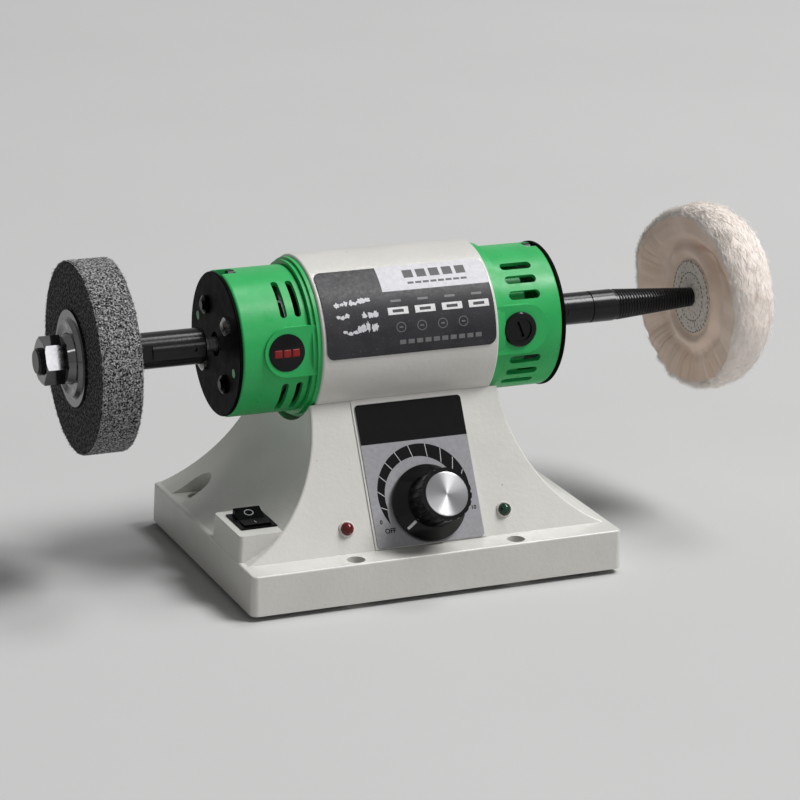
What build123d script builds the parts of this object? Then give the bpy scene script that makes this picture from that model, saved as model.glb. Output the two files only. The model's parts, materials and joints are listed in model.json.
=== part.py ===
from build123d import *
from math import cos, degrees, radians, sin, sqrt, tan
import os

# Twin-spindle bench polisher: a hollow flared base carries a small mains motor in a saddle.
# The motor turns a fibre wheel on the left spindle and a cotton buff on the tapered right one.
# Millimetres. +X runs along the shaft to the buff, +Y to the back, +Z up.
# The origin is on the bench, under the middle of the base.

# Fits
PUSH_FIT = 0.02      # radial play of a piece pushed onto a shaft or into a bore
RUN_FIT = 0.05       # radial play of a turning shaft
SEAT = 0.1           # play round a piece that drops into a seat
AIR = 0.3            # least air round a moving piece

# Base
BASE_LENGTH = 207.0
BASE_DEPTH = 157.2
BASE_DRAFT = 0.75
BASE_CORNER = 3.0
PLINTH_HEIGHT = 21.2
PLINTH_EDGE = 1.0
WALL = 3.5
FRONT_LEDGE = 15.3
REAR_LEDGE = 1.0
SIDE_LEDGE = 3.2
FRONT_LEAN = 28.5
REAR_LEAN = 25.4
NECK_WIDTH = 106.6
NECK_RISE = 71.5
SADDLE_RISE = 78.8
ARC_EDGE = 1.2
AXIS_HEIGHT = 118.4
AXIS_BACK = 8.1

# Bench holes and the rear corner pockets that give room for a bolt head
BENCH_HOLE = 9.5
BENCH_BOSS = 17.0
FRONT_HOLE_SPACING = 90.0
FRONT_HOLE_INSET = 6.6
REAR_HOLE_SPACING = 178.0
REAR_HOLE_INSET = 29.9
POCKET_WIDTH = 16.2

# Bottom plate and feet
PLATE = 1.5
PLATE_LIP = 1.6
FOOT_HEIGHT = 3.0
FOOT = 18.0
FOOT_WELL = 8.0
FOOT_WEB = 1.5
FOOT_INSET_X = 14.0
FRONT_FOOT_INSET = 14.0
REAR_FOOT_X = 58.0
REAR_FOOT_INSET = 10.5
FOOT_POST = 10.0
FOOT_SCREW = 3.4
FOOT_SCREW_HEAD = 6.8
FOOT_SCREW_GRIP = 8.0

# Front panel, measured up the sloping front from the plinth
PAD_WIDTH = 62.6
PAD_RISE = 0.6
DIAL_WIDTH = 60.2
DIAL_X = 0.7
DIAL_START = 0.4
DIAL_LENGTH = 76.0
DIAL_PLATE = 0.5
DIAL_CORNER = 2.0
KNOB_X = 2.1
KNOB_RISE = 21.0

# Speed knob
SKIRT = 40.6
SKIRT_RIM = 1.8
SKIRT_CONE = 5.6
GRIP_LOW = 28.6
GRIP_HIGH = 28.0
KNOB_HEIGHT = 25.8
KNOB_LIFT = 1.0
FLUTES = 20
FLUTE = 2.4
KNOB_WELL = 20.0
KNOB_WELL_DEPTH = 6.5
KNOB_CAP = 23.3
CAP_HEIGHT = 0.9

# Speed control behind the panel
POT = 24.0
POT_DEPTH = 11.0
POT_BUSH = 9.0
POT_BUSH_RISE = 5.0
POT_SHAFT = 6.0
POT_SHAFT_RISE = 17.0
POT_NUT = 13.0
POT_NUT_HEIGHT = 2.4

# Pilot lamps
LAMP_SPACING = 89.0
LAMP_RISE = 13.0
LAMP = 7.0
LAMP_PROUD = 1.0
LAMP_BACK = 5.0
LAMP_COLLAR = 8.6
LAMP_COLLAR_RISE = 1.1

# Rocker switch and its block on the left flank
SWITCH_X = -88.4
SWITCH_Y = -35.2
SWITCH_RISE = 13.8
BLOCK_FRONT = 20.6
BLOCK_LEFT = 4.0
BLOCK_REAR = 18.6
BLOCK_EDGE = 2.0
BLOCK_DRAFT = 1.0
BEZEL_WIDTH = 19.4
BEZEL_LENGTH = 24.0
BEZEL_RISE = 0.8
SWITCH_BODY_STEP = 0.9
SWITCH_DEPTH = 18.0
SWITCH_WALL = 1.3
WELL_DEPTH = 9.0
BLADE_LENGTH = 7.0
ROCKER_LENGTH = 18.2
ROCKER_RISE = 3.2
ROCKER_DISH = 2.0
ROCKER_BELLY = 4.6
ROCKER_TILT = 10.0
ROCKER_PIN = 2.4
PIVOT_SINK = 0.6

# Control board
BOARD_LENGTH = 70.0
BOARD_WIDTH = 46.0
BOARD = 1.6
BOARD_X = 18.0
BOARD_Y = 18.0
PILLAR = 6.0
PILLAR_HEIGHT = 8.0
PILLAR_INSET = 5.0
SINK_SHIFT = 14.0
SINK_LENGTH = 30.0
SINK_WIDTH = 16.0
SINK_HEIGHT = 22.0
SINK_FINS = 5
SINK_FIN = 1.4
SINK_FOOT = 3.0
CAPACITOR = 14.0
CAPACITOR_HEIGHT = 24.0

# Cord inlet in the rear wall
INLET_X = 40.0
INLET_RISE = 16.0
INLET_BORE = 7.4
INLET_BODY = 12.0
INLET_FLANGE = 18.0
INLET_LIP = 2.0

# Motor shell
MOTOR_ROLL = -5.5
SLEEVE = 87.0
SLEEVE_WALL = 3.0
SLEEVE_LEFT = -49.6
SLEEVE_RIGHT = 49.3
SLEEVE_EDGE = 1.2
SADDLE_SCREW = 5.0
SADDLE_SCREW_X = 60.0
SADDLE_SCREW_Y = 24.0
SADDLE_SCREW_HEAD = 8.5
SADDLE_SCREW_HEAD_HEIGHT = 3.0
WIRE_HOLE = 10.0
WIRE_HOLE_X = 8.0
NAMEPLATE = 0.5
NAMEPLATE_GLUE = 0.1
NAMEPLATE_START = 27.5
NAMEPLATE_END = 92.0
NAMEPLATE_MARGIN = 2.0
NAMEPLATE_CORNER = 4.0

# End bells
BELL = 76.8
BELL_WALL = 2.6
BELL_EDGE = 1.2
END_WALL = 4.0
SPIGOT = 5.0
SPIGOT_WALL = 4.0
LEFT_BELL_LENGTH = 41.4
LEFT_FLANGE = 84.0
LEFT_FLANGE_LENGTH = 4.4
FLANGE_STEP = 1.3
RIGHT_BELL_LENGTH = 39.2
RIGHT_FLANGE = 82.0
RIGHT_FLANGE_LENGTH = 5.1
BELL_GROOVE = 0.9
BELL_GROOVE_DEPTH = 1.0
BOSS_PLACE = 17.2
BOSS_WIDTH = 26.0
BOSS_DISTANCE = 39.4
BADGE = 19.4
BADGE_SHIFT = 1.2
BADGE_DOME = 0.7
BADGE_SINK = 0.8
BADGE_PROUD = 0.3
LEFT_SLOT = 3.6
LEFT_SLOT_NEAR = 9.7
LEFT_SLOT_STEP = 7.8
LEFT_SLOT_START = 26.5
LEFT_SLOT_SWEEP = 34.0
RIGHT_SLOT = 4.8
RIGHT_SLOT_LENGTH = 18.0
RIGHT_SLOT_MIDDLE = 19.0
RIGHT_SLOTS = 3
INNER_RING = 2.0
INNER_RING_LENGTH = 22.0
INNER_RING_DEPTH = 4.0
INNER_RING_REACH = 62.0
RIGHT_SLOT_START = 26.7
RIGHT_SLOT_STEP = 13.4
HUB_WALL = 3.0

# Tie bolts that run from bell to bell
TIE_BOLT = 4.0
TIE_BOLT_HEAD = 7.2
TIE_BOLT_HEAD_HEIGHT = 3.4
TIE_BOLT_COVER = 1.1
TIE_TURN = 4.0
TIE_LUG_WALL = 2.4
LEFT_NOTCH = 8.2
RIGHT_NOTCH = 6.2
NOTCH_WIDTH = 9.4

# Black cover plates on the bell ends
LEFT_COVER = 75.6
LEFT_COVER_PLATE = 1.8
RIGHT_COVER = 77.8
RIGHT_COVER_PLATE = 2.0
COVER_BORE = 13.0
COVER_EDGE = 0.5
COVER_HOLE = 5.0
COVER_HOLE_CIRCLE = 57.4
COVER_HOLE_ANGLE = 106.5
COVER_SCREW = 5.0
COVER_SCREW_HEAD = 9.6
COVER_SCREW_HEAD_HEIGHT = 3.0
COVER_SCREW_CIRCLE = 45.4
COVER_SCREW_ANGLE = 51.0
COVER_SCREWS = 4

# Bearings
BEARING_BORE = 10.0
BEARING = 30.0
BEARING_WIDTH = 9.0
BEARING_LIP = 2.0
BEARING_RACE = 3.0
BEARING_SHIELD = 0.8
BEARING_INNER = 17.0

# Stator and armature
CORE_LENGTH = 66.0
CORE_LEFT = -34.4
ARMATURE = 49.0
AIR_GAP = 0.7
YOKE = 8.0
POLE_HALF_ANGLE = 41.0
WINDOW_ANGLE = 23.0
COIL_PLAY = 0.3
COIL_END = 8.0
COIL_INNER_STEP = 1.5
ARMATURE_SLOTS = 12
ARMATURE_SLOT = 3.0
ARMATURE_SLOT_DEPTH = 8.0
WINDING_END = 10.0
WINDING_STEP = 3.0
WINDING_CORE = 18.0
COMMUTATOR = 27.0
COMMUTATOR_LENGTH = 20.0
COMMUTATOR_RISER = 2.4
COMMUTATOR_RISER_RISE = 2.0
FAN = 58.0
FAN_HUB = 18.0
FAN_LENGTH = 14.0
FAN_DISC = 1.6
FAN_BLADES = 11
FAN_BLADE = 1.6
FAN_PLACE = 26.0

# Brush gear, in the bosses of the right bell
BRUSH_PLACE = 13.7
BRUSH_WIDTH = 6.0
BRUSH_LENGTH_X = 8.0
BRUSH_HEIGHT = 14.0
BRUSH_AIR = 0.2
HOLDER = 14.0
HOLDER_RING = 18.6
HOLDER_RING_RISE = 1.5
HOLDER_AIR = 2.2
HOLDER_WALL = 0.7
BRUSH_CAP_HEIGHT = 4.5
BRUSH_CAP_SINK = 0.9
CAP_SLOT = 2.0
CAP_SLOT_TURN = 111.0
CAP_SLOT_DEPTH = 1.8
SPRING = 5.0
SPRING_WALL = 0.8

# Motor shaft and the two spindles
SHAFT_END = 8.0
SPINDLE_GRIP = 18.0
LEFT_STUB = 7.4
RIGHT_STUB = 7.0
SPINDLE = 19.0
LEFT_SPINDLE_LENGTH = 43.9
SPINDLE_EDGE = 1.0
SPINDLE_FLAT = 17.0
SPINDLE_FLAT_START = 2.5
SPINDLE_FLAT_LENGTH = 12.0
STUD = 14.0
STUD_PROUD = 2.6
GRUB = 5.0
GRUB_PLACE = 6.5
GRUB_SINK = 0.4

# Left wheel and its clamp
WHEEL = 100.0
WHEEL_WIDTH = 21.3
WHEEL_EDGE = 0.8
CLAMP_FLANGE = 50.0
INNER_FLANGE = 4.0
FLANGE_LIP = 1.6
FLANGE_RIDGE = 40.0
FLANGE_RIDGE_RISE = 3.6
FLANGE_HUB = 27.0
FLANGE_RISE = 6.0
FLANGE_DISH = 2.4
NUT = 22.0
NUT_HEIGHT = 11.4
NUT_ANGLE = 37.0
NUT_CHAMFER = 1.3

# Right spindle and buff
RIGHT_SPINDLE = 17.4
RIGHT_SPINDLE_LENGTH = 38.3
RING_GROOVE = 0.9
RING_GROOVE_DEPTH = 0.5
RING_GROOVE_PLACE = 13.4
TAPER_START = 16.4
TAPER_END = 6.9
TAPER_LENGTH = 67.0
TIP_EDGE = 1.5
BUFF_PLACE = 49.7
BUFF = 104.0
BUFF_CORE = 11.5
BUFF_RIM = 25.0
BUFF_SHOULDER = 94.0
BUFF_LEAN_FRONT = 5.0
BUFF_DISC = 40.6
BUFF_DISC_PLATE = 1.0
BUFF_HUB = 43.0

# Heights and places that follow from the sizes above
BASE_Z = FOOT_HEIGHT
PLINTH_TOP = BASE_Z + PLINTH_HEIGHT
NECK_Z = PLINTH_TOP + NECK_RISE
SADDLE_TOP = PLINTH_TOP + SADDLE_RISE
AXIS_Z = BASE_Z + AXIS_HEIGHT
FRONT_FOOT_Y = FRONT_LEDGE - BASE_DEPTH / 2
REAR_FOOT_Y = BASE_DEPTH / 2 - REAR_LEDGE
SCOOP_RUN = (BASE_LENGTH - NECK_WIDTH) / 2 - SIDE_LEDGE
SCOOP_R = (SCOOP_RUN ** 2 + NECK_RISE ** 2) / (2 * SCOOP_RUN)
SCOOP_X = NECK_WIDTH / 2 + SCOOP_R
FRONT_HOLE_Y = FRONT_HOLE_INSET - BASE_DEPTH / 2
REAR_HOLE_Y = BASE_DEPTH / 2 - REAR_HOLE_INSET
SWITCH_TOP = PLINTH_TOP + SWITCH_RISE
PANEL_TOP = PAD_RISE + DIAL_PLATE
FEET = [
    (side * (BASE_LENGTH / 2 - FOOT_INSET_X), FRONT_FOOT_INSET - BASE_DEPTH / 2) for side in (-1, 1)
] + [(side * REAR_FOOT_X, BASE_DEPTH / 2 - REAR_FOOT_INSET) for side in (-1, 1)]
SADDLE_SCREWS = [
    (x * SADDLE_SCREW_X / 2, AXIS_BACK + y * SADDLE_SCREW_Y / 2) for x in (-1, 1) for y in (-1, 1)
]

SLEEVE_R = SLEEVE / 2
SLEEVE_BORE = SLEEVE_R - SLEEVE_WALL
BELL_R = BELL / 2
BELL_BORE = BELL_R - BELL_WALL
SPIGOT_R = SLEEVE_BORE - PUSH_FIT
FRONT_ANGLE = 90 + MOTOR_ROLL
SIDES = (FRONT_ANGLE, FRONT_ANGLE + 180)
TIE_ANGLES = (MOTOR_ROLL + TIE_TURN, MOTOR_ROLL + TIE_TURN + 180)
TIE_HOLE_R = TIE_BOLT / 2 + SEAT
TIE_CIRCLE_R = BELL_R - TIE_BOLT_COVER - TIE_HOLE_R
TIE_LUG_R = TIE_HOLE_R + TIE_LUG_WALL
LEFT_END = SLEEVE_LEFT - LEFT_BELL_LENGTH
BADGE_X = SLEEVE_LEFT - BOSS_PLACE - BADGE_SHIFT
RIGHT_END = SLEEVE_RIGHT + RIGHT_BELL_LENGTH
LEFT_COVER_FACE = LEFT_END - LEFT_COVER_PLATE
RIGHT_COVER_FACE = RIGHT_END + RIGHT_COVER_PLATE
CORE_RIGHT = CORE_LEFT + CORE_LENGTH
SHAFT_R = BEARING_BORE / 2
BRUSH_X = SLEEVE_RIGHT + BRUSH_PLACE
COMMUTATOR_R = COMMUTATOR / 2
HOLDER_START = COMMUTATOR_R + HOLDER_AIR
HOLDER_BORE_R = HOLDER / 2 - HOLDER_WALL
CAP_TOP = BOSS_DISTANCE + HOLDER_RING_RISE - BRUSH_CAP_SINK
CAP_BOTTOM = CAP_TOP - BRUSH_CAP_HEIGHT

LEFT_SPINDLE_FACE = LEFT_COVER_FACE - LEFT_STUB
WHEEL_SHOULDER = LEFT_SPINDLE_FACE - LEFT_SPINDLE_LENGTH
WHEEL_INNER = WHEEL_SHOULDER - INNER_FLANGE
WHEEL_OUTER = WHEEL_INNER - WHEEL_WIDTH
NUT_SEAT = WHEEL_OUTER - FLANGE_RISE
NUT_FACE = NUT_SEAT - NUT_HEIGHT
STUD_END = NUT_FACE - STUD_PROUD
RIGHT_SPINDLE_FACE = RIGHT_COVER_FACE + RIGHT_STUB
TAPER_X = RIGHT_SPINDLE_FACE + RIGHT_SPINDLE_LENGTH
TAPER_TIP = TAPER_X + TAPER_LENGTH
BUFF_X = TAPER_X + BUFF_PLACE


# Shapes used all through the model

def lathe(*points):
    """Solid of revolution about the shaft, from (x, radius) points."""
    return revolve(Plane.XZ * make_face(Polyline(*points, close=True)), Axis.X)


def tube(x0, x1, outer, inner):
    return lathe((x0, inner), (x0, outer), (x1, outer), (x1, inner))


def rod(x0, x1, radius):
    return lathe((x0, 0), (x0, radius), (x1, radius), (x1, 0))


def sector(x0, x1, inner, outer, start, sweep):
    """Part of a ring about the shaft. Angles run from the top towards the front."""
    face = Plane.XZ * make_face(Polyline((x0, inner), (x0, outer), (x1, outer), (x1, inner), close=True))
    return Rot(start, 0, 0) * revolve(face, Axis.X, sweep)


def radial_plane(x, angle, distance):
    """Plane that faces away from the shaft at this angle, with its own x along the shaft."""
    out = Vector(0, -sin(radians(angle)), cos(radians(angle)))
    return Plane(origin=Vector(x, 0, 0) + out * distance, x_dir=(1, 0, 0), z_dir=out)


def along_shaft(x0, x1, radius, angle, distance):
    """Cylinder beside the shaft and parallel to it."""
    turn = radians(angle)
    return Pos(0, -distance * sin(turn), distance * cos(turn)) * rod(x0, x1, radius)


def front_plane(x, rise, lift=0.0):
    """Plane on the sloping front, with its own y up the slope."""
    lean = radians(FRONT_LEAN)
    up = Vector(0, sin(lean), cos(lean))
    out = Vector(0, -cos(lean), sin(lean))
    foot = Vector(x, FRONT_FOOT_Y, PLINTH_TOP)
    return Plane(origin=foot + up * rise + out * lift, x_dir=(1, 0, 0), z_dir=out)


def rear_plane(x, rise):
    lean = radians(REAR_LEAN)
    up = Vector(0, -sin(lean), cos(lean))
    out = Vector(0, cos(lean), sin(lean))
    return Plane(origin=Vector(x, REAR_FOOT_Y, PLINTH_TOP) + up * rise, x_dir=(-1, 0, 0), z_dir=out)


def turned(*points):
    """Solid of revolution about the local z axis, from (radius, height) points."""
    return revolve(Plane.XZ * make_face(Polyline(*points, close=True)), Axis.Z)


def upright(x, y, z0, z1, diameter):
    return Pos(x, y, (z0 + z1) / 2) * Cylinder(diameter / 2, z1 - z0)


def ring_edges(part, x, radius):
    """Circular edges about the shaft at this place."""
    return [
        edge for edge in part.edges().filter_by(GeomType.CIRCLE)
        if abs(edge.center().X - x) < 1e-3 and abs(edge.radius - radius) < 1e-3
    ]


def hexagon(width, height):
    return extrude(RegularPolygon(width / 2, 6, major_radius=False), height)


MOTOR = Pos(0, AXIS_BACK, AXIS_Z)


# Base housing

def plinth():
    lower = RectangleRounded(
        BASE_LENGTH + 2 * BASE_DRAFT, BASE_DEPTH + 2 * BASE_DRAFT, BASE_CORNER + BASE_DRAFT)
    upper = RectangleRounded(BASE_LENGTH, BASE_DEPTH, BASE_CORNER)
    body = loft([Plane.XY.offset(BASE_Z) * lower, Plane.XY.offset(PLINTH_TOP) * upper])
    return fillet(body.faces().sort_by(Axis.Z)[-1].edges(), PLINTH_EDGE)


def pedestal(inset, foot, half_length):
    """Flared body between sloping walls, scooped at both flanks, with the saddle on top."""
    front = FRONT_FOOT_Y + inset / cos(radians(FRONT_LEAN))
    rear = REAR_FOOT_Y - inset / cos(radians(REAR_LEAN))
    top = SADDLE_TOP - inset

    def front_y(z):
        return front + (z - PLINTH_TOP) * tan(radians(FRONT_LEAN))

    def rear_y(z):
        return rear - (z - PLINTH_TOP) * tan(radians(REAR_LEAN))

    side = Polyline((front_y(foot), foot), (rear_y(foot), foot), (rear_y(top), top),
                    (front_y(top), top), close=True)
    body = extrude(Plane.YZ * make_face(side), half_length, both=True)
    waist = NECK_WIDTH / 2 - inset
    for flank in (-1, 1):
        body -= Pos(flank * SCOOP_X, 0, NECK_Z) * Rot(90, 0, 0) * Cylinder(SCOOP_R + inset, 2 * BASE_DEPTH)
        above = Box(BASE_LENGTH, 2 * BASE_DEPTH, SADDLE_RISE)
        body -= Pos(flank * (waist + BASE_LENGTH / 2), 0, NECK_Z + SADDLE_RISE / 2) * above
    return body - MOTOR * rod(-BASE_LENGTH, BASE_LENGTH, SLEEVE_R + SEAT + inset)


def switch_block():
    left = SWITCH_X - BEZEL_WIDTH / 2 - BLOCK_LEFT
    right = SWITCH_X + BEZEL_WIDTH / 2 + BLOCK_EDGE
    front = SWITCH_Y - BLOCK_FRONT
    rear = SWITCH_Y + BLOCK_REAR
    centre = ((left + right) / 2, (front + rear) / 2)
    foot = PLINTH_TOP - WALL / 2

    def outline(grow, z):
        shape = RectangleRounded(right - left + 2 * grow, rear - front + 2 * grow, BLOCK_EDGE)
        return Pos(*centre, z) * shape

    return loft([outline(BLOCK_DRAFT, foot), outline(0, SWITCH_TOP)])


def rear_pocket(flank, width, z0, z1):
    """Round-ended pocket that opens at the end of the base, about one rear bench hole."""
    x = flank * REAR_HOLE_SPACING / 2
    end = upright(x, REAR_HOLE_Y, z0, z1, width)
    run = BASE_LENGTH / 2
    return end + Pos(x + flank * run / 2, REAR_HOLE_Y, (z0 + z1) / 2) * Box(run, width, z1 - z0)


def panel_pad():
    rise = SADDLE_RISE / cos(radians(FRONT_LEAN))
    pad = Pos(0, rise / 2, 0) * Box(PAD_WIDTH, rise, 2 * PAD_RISE)
    pad = front_plane(DIAL_X, 0).location * pad
    return pad - MOTOR * rod(-BASE_LENGTH, BASE_LENGTH, SLEEVE_R + SEAT)


def base_housing():
    body = pedestal(0, PLINTH_TOP - WALL, BASE_LENGTH / 2 - SIDE_LEDGE / 2)
    body = fillet(body.edges().filter_by(GeomType.ELLIPSE), ARC_EDGE)
    outer = plinth() + body + switch_block() + panel_pad()

    inner_height = PLINTH_HEIGHT - WALL
    hollow = Pos(0, 0, BASE_Z + inner_height / 2) * Box(
        BASE_LENGTH - 2 * WALL, BASE_DEPTH - 2 * WALL, inner_height)
    hollow += pedestal(WALL, BASE_Z, BASE_LENGTH / 2 - WALL)
    rebate = Pos(0, 0, BASE_Z) * extrude(plate_outline(0), PLATE)
    shell = outer - hollow - rebate

    bosses = [upright(*foot, BASE_Z + PLATE, PLINTH_TOP + FOOT_POST, FOOT_POST) for foot in FEET]
    for flank in (-1, 1):
        bosses.append(upright(flank * FRONT_HOLE_SPACING / 2, FRONT_HOLE_Y, BASE_Z, PLINTH_TOP, BENCH_BOSS))
        bosses.append(rear_pocket(flank, POCKET_WIDTH + 2 * WALL, BASE_Z, SWITCH_TOP + WALL))
    for boss in bosses:
        shell += boss & outer

    for flank in (-1, 1):
        shell -= rear_pocket(flank, POCKET_WIDTH, PLINTH_TOP, SADDLE_TOP)
        for x, y in ((FRONT_HOLE_SPACING / 2, FRONT_HOLE_Y), (REAR_HOLE_SPACING / 2, REAR_HOLE_Y)):
            shell -= upright(flank * x, y, BASE_Z - WALL, PLINTH_TOP + WALL, BENCH_HOLE)
        lamp = front_plane(flank * LAMP_SPACING / 2, LAMP_RISE)
        shell -= lamp.location * Cylinder(LAMP / 2 + SEAT, 4 * WALL)
    for x, y in FEET:
        shell -= upright(x, y, BASE_Z, BASE_Z + PLATE + FOOT_SCREW_GRIP + SEAT, FOOT_SCREW + 2 * PUSH_FIT)
    for x, y in SADDLE_SCREWS:
        shell -= upright(x, y, PLINTH_TOP, AXIS_Z, SADDLE_SCREW + 2 * SEAT)
    shell -= upright(WIRE_HOLE_X, AXIS_BACK, PLINTH_TOP, AXIS_Z, WIRE_HOLE)
    shell -= front_plane(KNOB_X, KNOB_RISE).location * Cylinder(POT_BUSH / 2 + SEAT, 4 * WALL)
    shell -= rear_plane(INLET_X, INLET_RISE).location * Cylinder(INLET_BODY / 2 + SEAT, 4 * WALL)

    seat = Pos(SWITCH_X, SWITCH_Y, SWITCH_TOP + SWITCH_RISE / 2) * Box(
        BEZEL_WIDTH + 2 * SEAT, BEZEL_LENGTH + 2 * SEAT, SWITCH_RISE)
    well = Pos(SWITCH_X, SWITCH_Y, SWITCH_TOP - SWITCH_DEPTH / 2) * Box(
        BEZEL_WIDTH - 2 * SWITCH_BODY_STEP + 2 * SEAT,
        BEZEL_LENGTH - 2 * SWITCH_BODY_STEP + 2 * SEAT, SWITCH_DEPTH)
    return shell - seat - well


# Bottom plate, feet and their screws

def plate_outline(play):
    grow = 2 * (BASE_DRAFT - PLATE_LIP - play)
    return RectangleRounded(BASE_LENGTH + grow, BASE_DEPTH + grow, BASE_CORNER)


def bottom_plate():
    plate = Pos(0, 0, BASE_Z) * extrude(plate_outline(SEAT), PLATE)
    for flank in (-1, 1):
        plate -= upright(flank * FRONT_HOLE_SPACING / 2, FRONT_HOLE_Y, 0, PLINTH_TOP, BENCH_BOSS + 2 * SEAT)
        plate -= rear_pocket(flank, POCKET_WIDTH + 2 * (WALL + SEAT), 0, PLINTH_TOP)
    for x, y in FEET:
        plate -= upright(x, y, 0, PLINTH_TOP, FOOT_SCREW + 2 * SEAT)
    return plate


def rubber_foot(x, y):
    low = FOOT / 2 - FOOT_WEB / 2
    bore = FOOT_SCREW / 2 + SEAT
    shape = turned((bore, BASE_Z), (FOOT / 2, BASE_Z), (low, 0), (FOOT_WELL / 2, 0),
                   (FOOT_WELL / 2, BASE_Z - FOOT_WEB), (bore, BASE_Z - FOOT_WEB))
    return Pos(x, y, 0) * shape


def foot_screw(x, y):
    seat = BASE_Z - FOOT_WEB
    head = upright(x, y, SEAT, seat, FOOT_SCREW_HEAD)
    return head + upright(x, y, seat, BASE_Z + PLATE + FOOT_SCREW_GRIP, FOOT_SCREW)


# Front panel

def dial_plate():
    sheet = extrude(RectangleRounded(DIAL_WIDTH, DIAL_LENGTH, DIAL_CORNER), DIAL_PLATE)
    sheet = front_plane(DIAL_X, DIAL_START + DIAL_LENGTH / 2, PAD_RISE).location * sheet
    sheet -= front_plane(KNOB_X, KNOB_RISE).location * Cylinder(POT_BUSH / 2 + SEAT, 4 * WALL)
    return sheet - MOTOR * rod(-BASE_LENGTH, BASE_LENGTH, SLEEVE_R + AIR)


def lamp_lens(flank):
    radius = LAMP / 2
    lens = Pos(0, 0, (LAMP_PROUD - LAMP_BACK) / 2) * Cylinder(radius, LAMP_PROUD + LAMP_BACK)
    lens += Pos(0, 0, LAMP_PROUD) * Sphere(radius)
    return front_plane(flank * LAMP_SPACING / 2, LAMP_RISE).location * lens


def lamp_collar(flank):
    bore = LAMP / 2 + PUSH_FIT
    edge = LAMP_COLLAR_RISE / 2
    ring = turned((bore, 0), (LAMP_COLLAR / 2, 0), (LAMP_COLLAR / 2, edge),
                  (LAMP_COLLAR / 2 - edge, LAMP_COLLAR_RISE), (bore, LAMP_COLLAR_RISE))
    return front_plane(flank * LAMP_SPACING / 2, LAMP_RISE).location * ring


def on_panel(shape, lift):
    return front_plane(KNOB_X, KNOB_RISE, lift).location * shape


KNOB_BASE = PANEL_TOP + KNOB_LIFT


def speed_knob():
    cone = SKIRT_RIM + SKIRT_CONE
    bore = POT_SHAFT / 2 + PUSH_FIT
    bore_top = POT_SHAFT_RISE - KNOB_LIFT + SEAT
    knob = turned((KNOB_WELL / 2, 0), (SKIRT / 2, 0), (SKIRT / 2, SKIRT_RIM), (GRIP_LOW / 2, cone),
                  (GRIP_HIGH / 2, KNOB_HEIGHT), (0, KNOB_HEIGHT), (0, bore_top), (bore, bore_top),
                  (bore, KNOB_WELL_DEPTH), (KNOB_WELL / 2, KNOB_WELL_DEPTH))
    lean = (GRIP_LOW - GRIP_HIGH) / 2 / (KNOB_HEIGHT - cone)
    for i in range(FLUTES):
        turn = Rot(0, 0, 360 / FLUTES * i)
        groove = Pos(GRIP_LOW / 2 + FLUTE / 4, 0, cone + FLUTE)
        slant = Plane(origin=(0, 0, 0), x_dir=(0, 1, 0), z_dir=(-lean, 0, 1)).location
        cutter = Pos(0, 0, KNOB_HEIGHT / 2) * Cylinder(FLUTE / 2, KNOB_HEIGHT)
        knob -= turn * groove * slant * cutter
    return on_panel(knob, KNOB_BASE)


def knob_cap():
    radius = KNOB_CAP / 2
    edge = CAP_HEIGHT / 3
    cap = turned((0, 0), (radius, 0), (radius, CAP_HEIGHT - edge), (radius - edge, CAP_HEIGHT), (0, CAP_HEIGHT))
    return on_panel(cap, KNOB_BASE + KNOB_HEIGHT)


def pot_shaft():
    rise = PANEL_TOP + POT_SHAFT_RISE
    return on_panel(Pos(0, 0, (rise - WALL) / 2) * Cylinder(POT_SHAFT / 2, rise + WALL), 0)


def potentiometer():
    bush = POT_BUSH / 2
    bore = POT_SHAFT / 2 + RUN_FIT
    top = PANEL_TOP + POT_BUSH_RISE
    body = turned((0, -WALL - POT_DEPTH), (POT / 2, -WALL - POT_DEPTH), (POT / 2, -WALL), (bush, -WALL),
                  (bush, top), (bore, top), (bore, -WALL - SEAT), (0, -WALL - SEAT))
    return on_panel(body, 0)


def pot_nut():
    nut = hexagon(POT_NUT, POT_NUT_HEIGHT) - Cylinder(POT_BUSH / 2 + PUSH_FIT, 4 * POT_NUT_HEIGHT)
    return on_panel(nut, PANEL_TOP)


# Rocker switch

PIVOT_Z = SWITCH_TOP + BEZEL_RISE - PIVOT_SINK
BODY_WIDTH = BEZEL_WIDTH - 2 * SWITCH_BODY_STEP
BODY_LENGTH = BEZEL_LENGTH - 2 * SWITCH_BODY_STEP
WELL_WIDTH = BODY_WIDTH - 2 * SWITCH_WALL
WELL_LENGTH = ROCKER_LENGTH + 2 * SWITCH_WALL
ROCKER_WIDTH = WELL_WIDTH - 2 * AIR


def switch_frame():
    top = SWITCH_TOP + BEZEL_RISE
    frame = Pos(0, 0, SWITCH_TOP + BEZEL_RISE / 2) * Box(BEZEL_WIDTH, BEZEL_LENGTH, BEZEL_RISE)
    frame += Pos(0, 0, SWITCH_TOP - SWITCH_DEPTH / 2) * Box(BODY_WIDTH, BODY_LENGTH, SWITCH_DEPTH)
    frame -= Pos(0, 0, top - WELL_DEPTH / 2) * Box(WELL_WIDTH, WELL_LENGTH, WELL_DEPTH)
    frame -= Pos(0, 0, PIVOT_Z) * Rot(0, 90, 0) * Cylinder(ROCKER_PIN / 2 + RUN_FIT, BODY_WIDTH - SWITCH_WALL)
    for x in (-1, 1):
        for y in (-1, 1):
            blade = Box(SWITCH_WALL, BODY_LENGTH / 4, BLADE_LENGTH)
            place = (x * BODY_WIDTH / 4, y * BODY_LENGTH / 4, SWITCH_TOP - SWITCH_DEPTH - BLADE_LENGTH / 2)
            frame += Pos(*place) * blade
    return Pos(SWITCH_X, SWITCH_Y, 0) * frame


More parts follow.
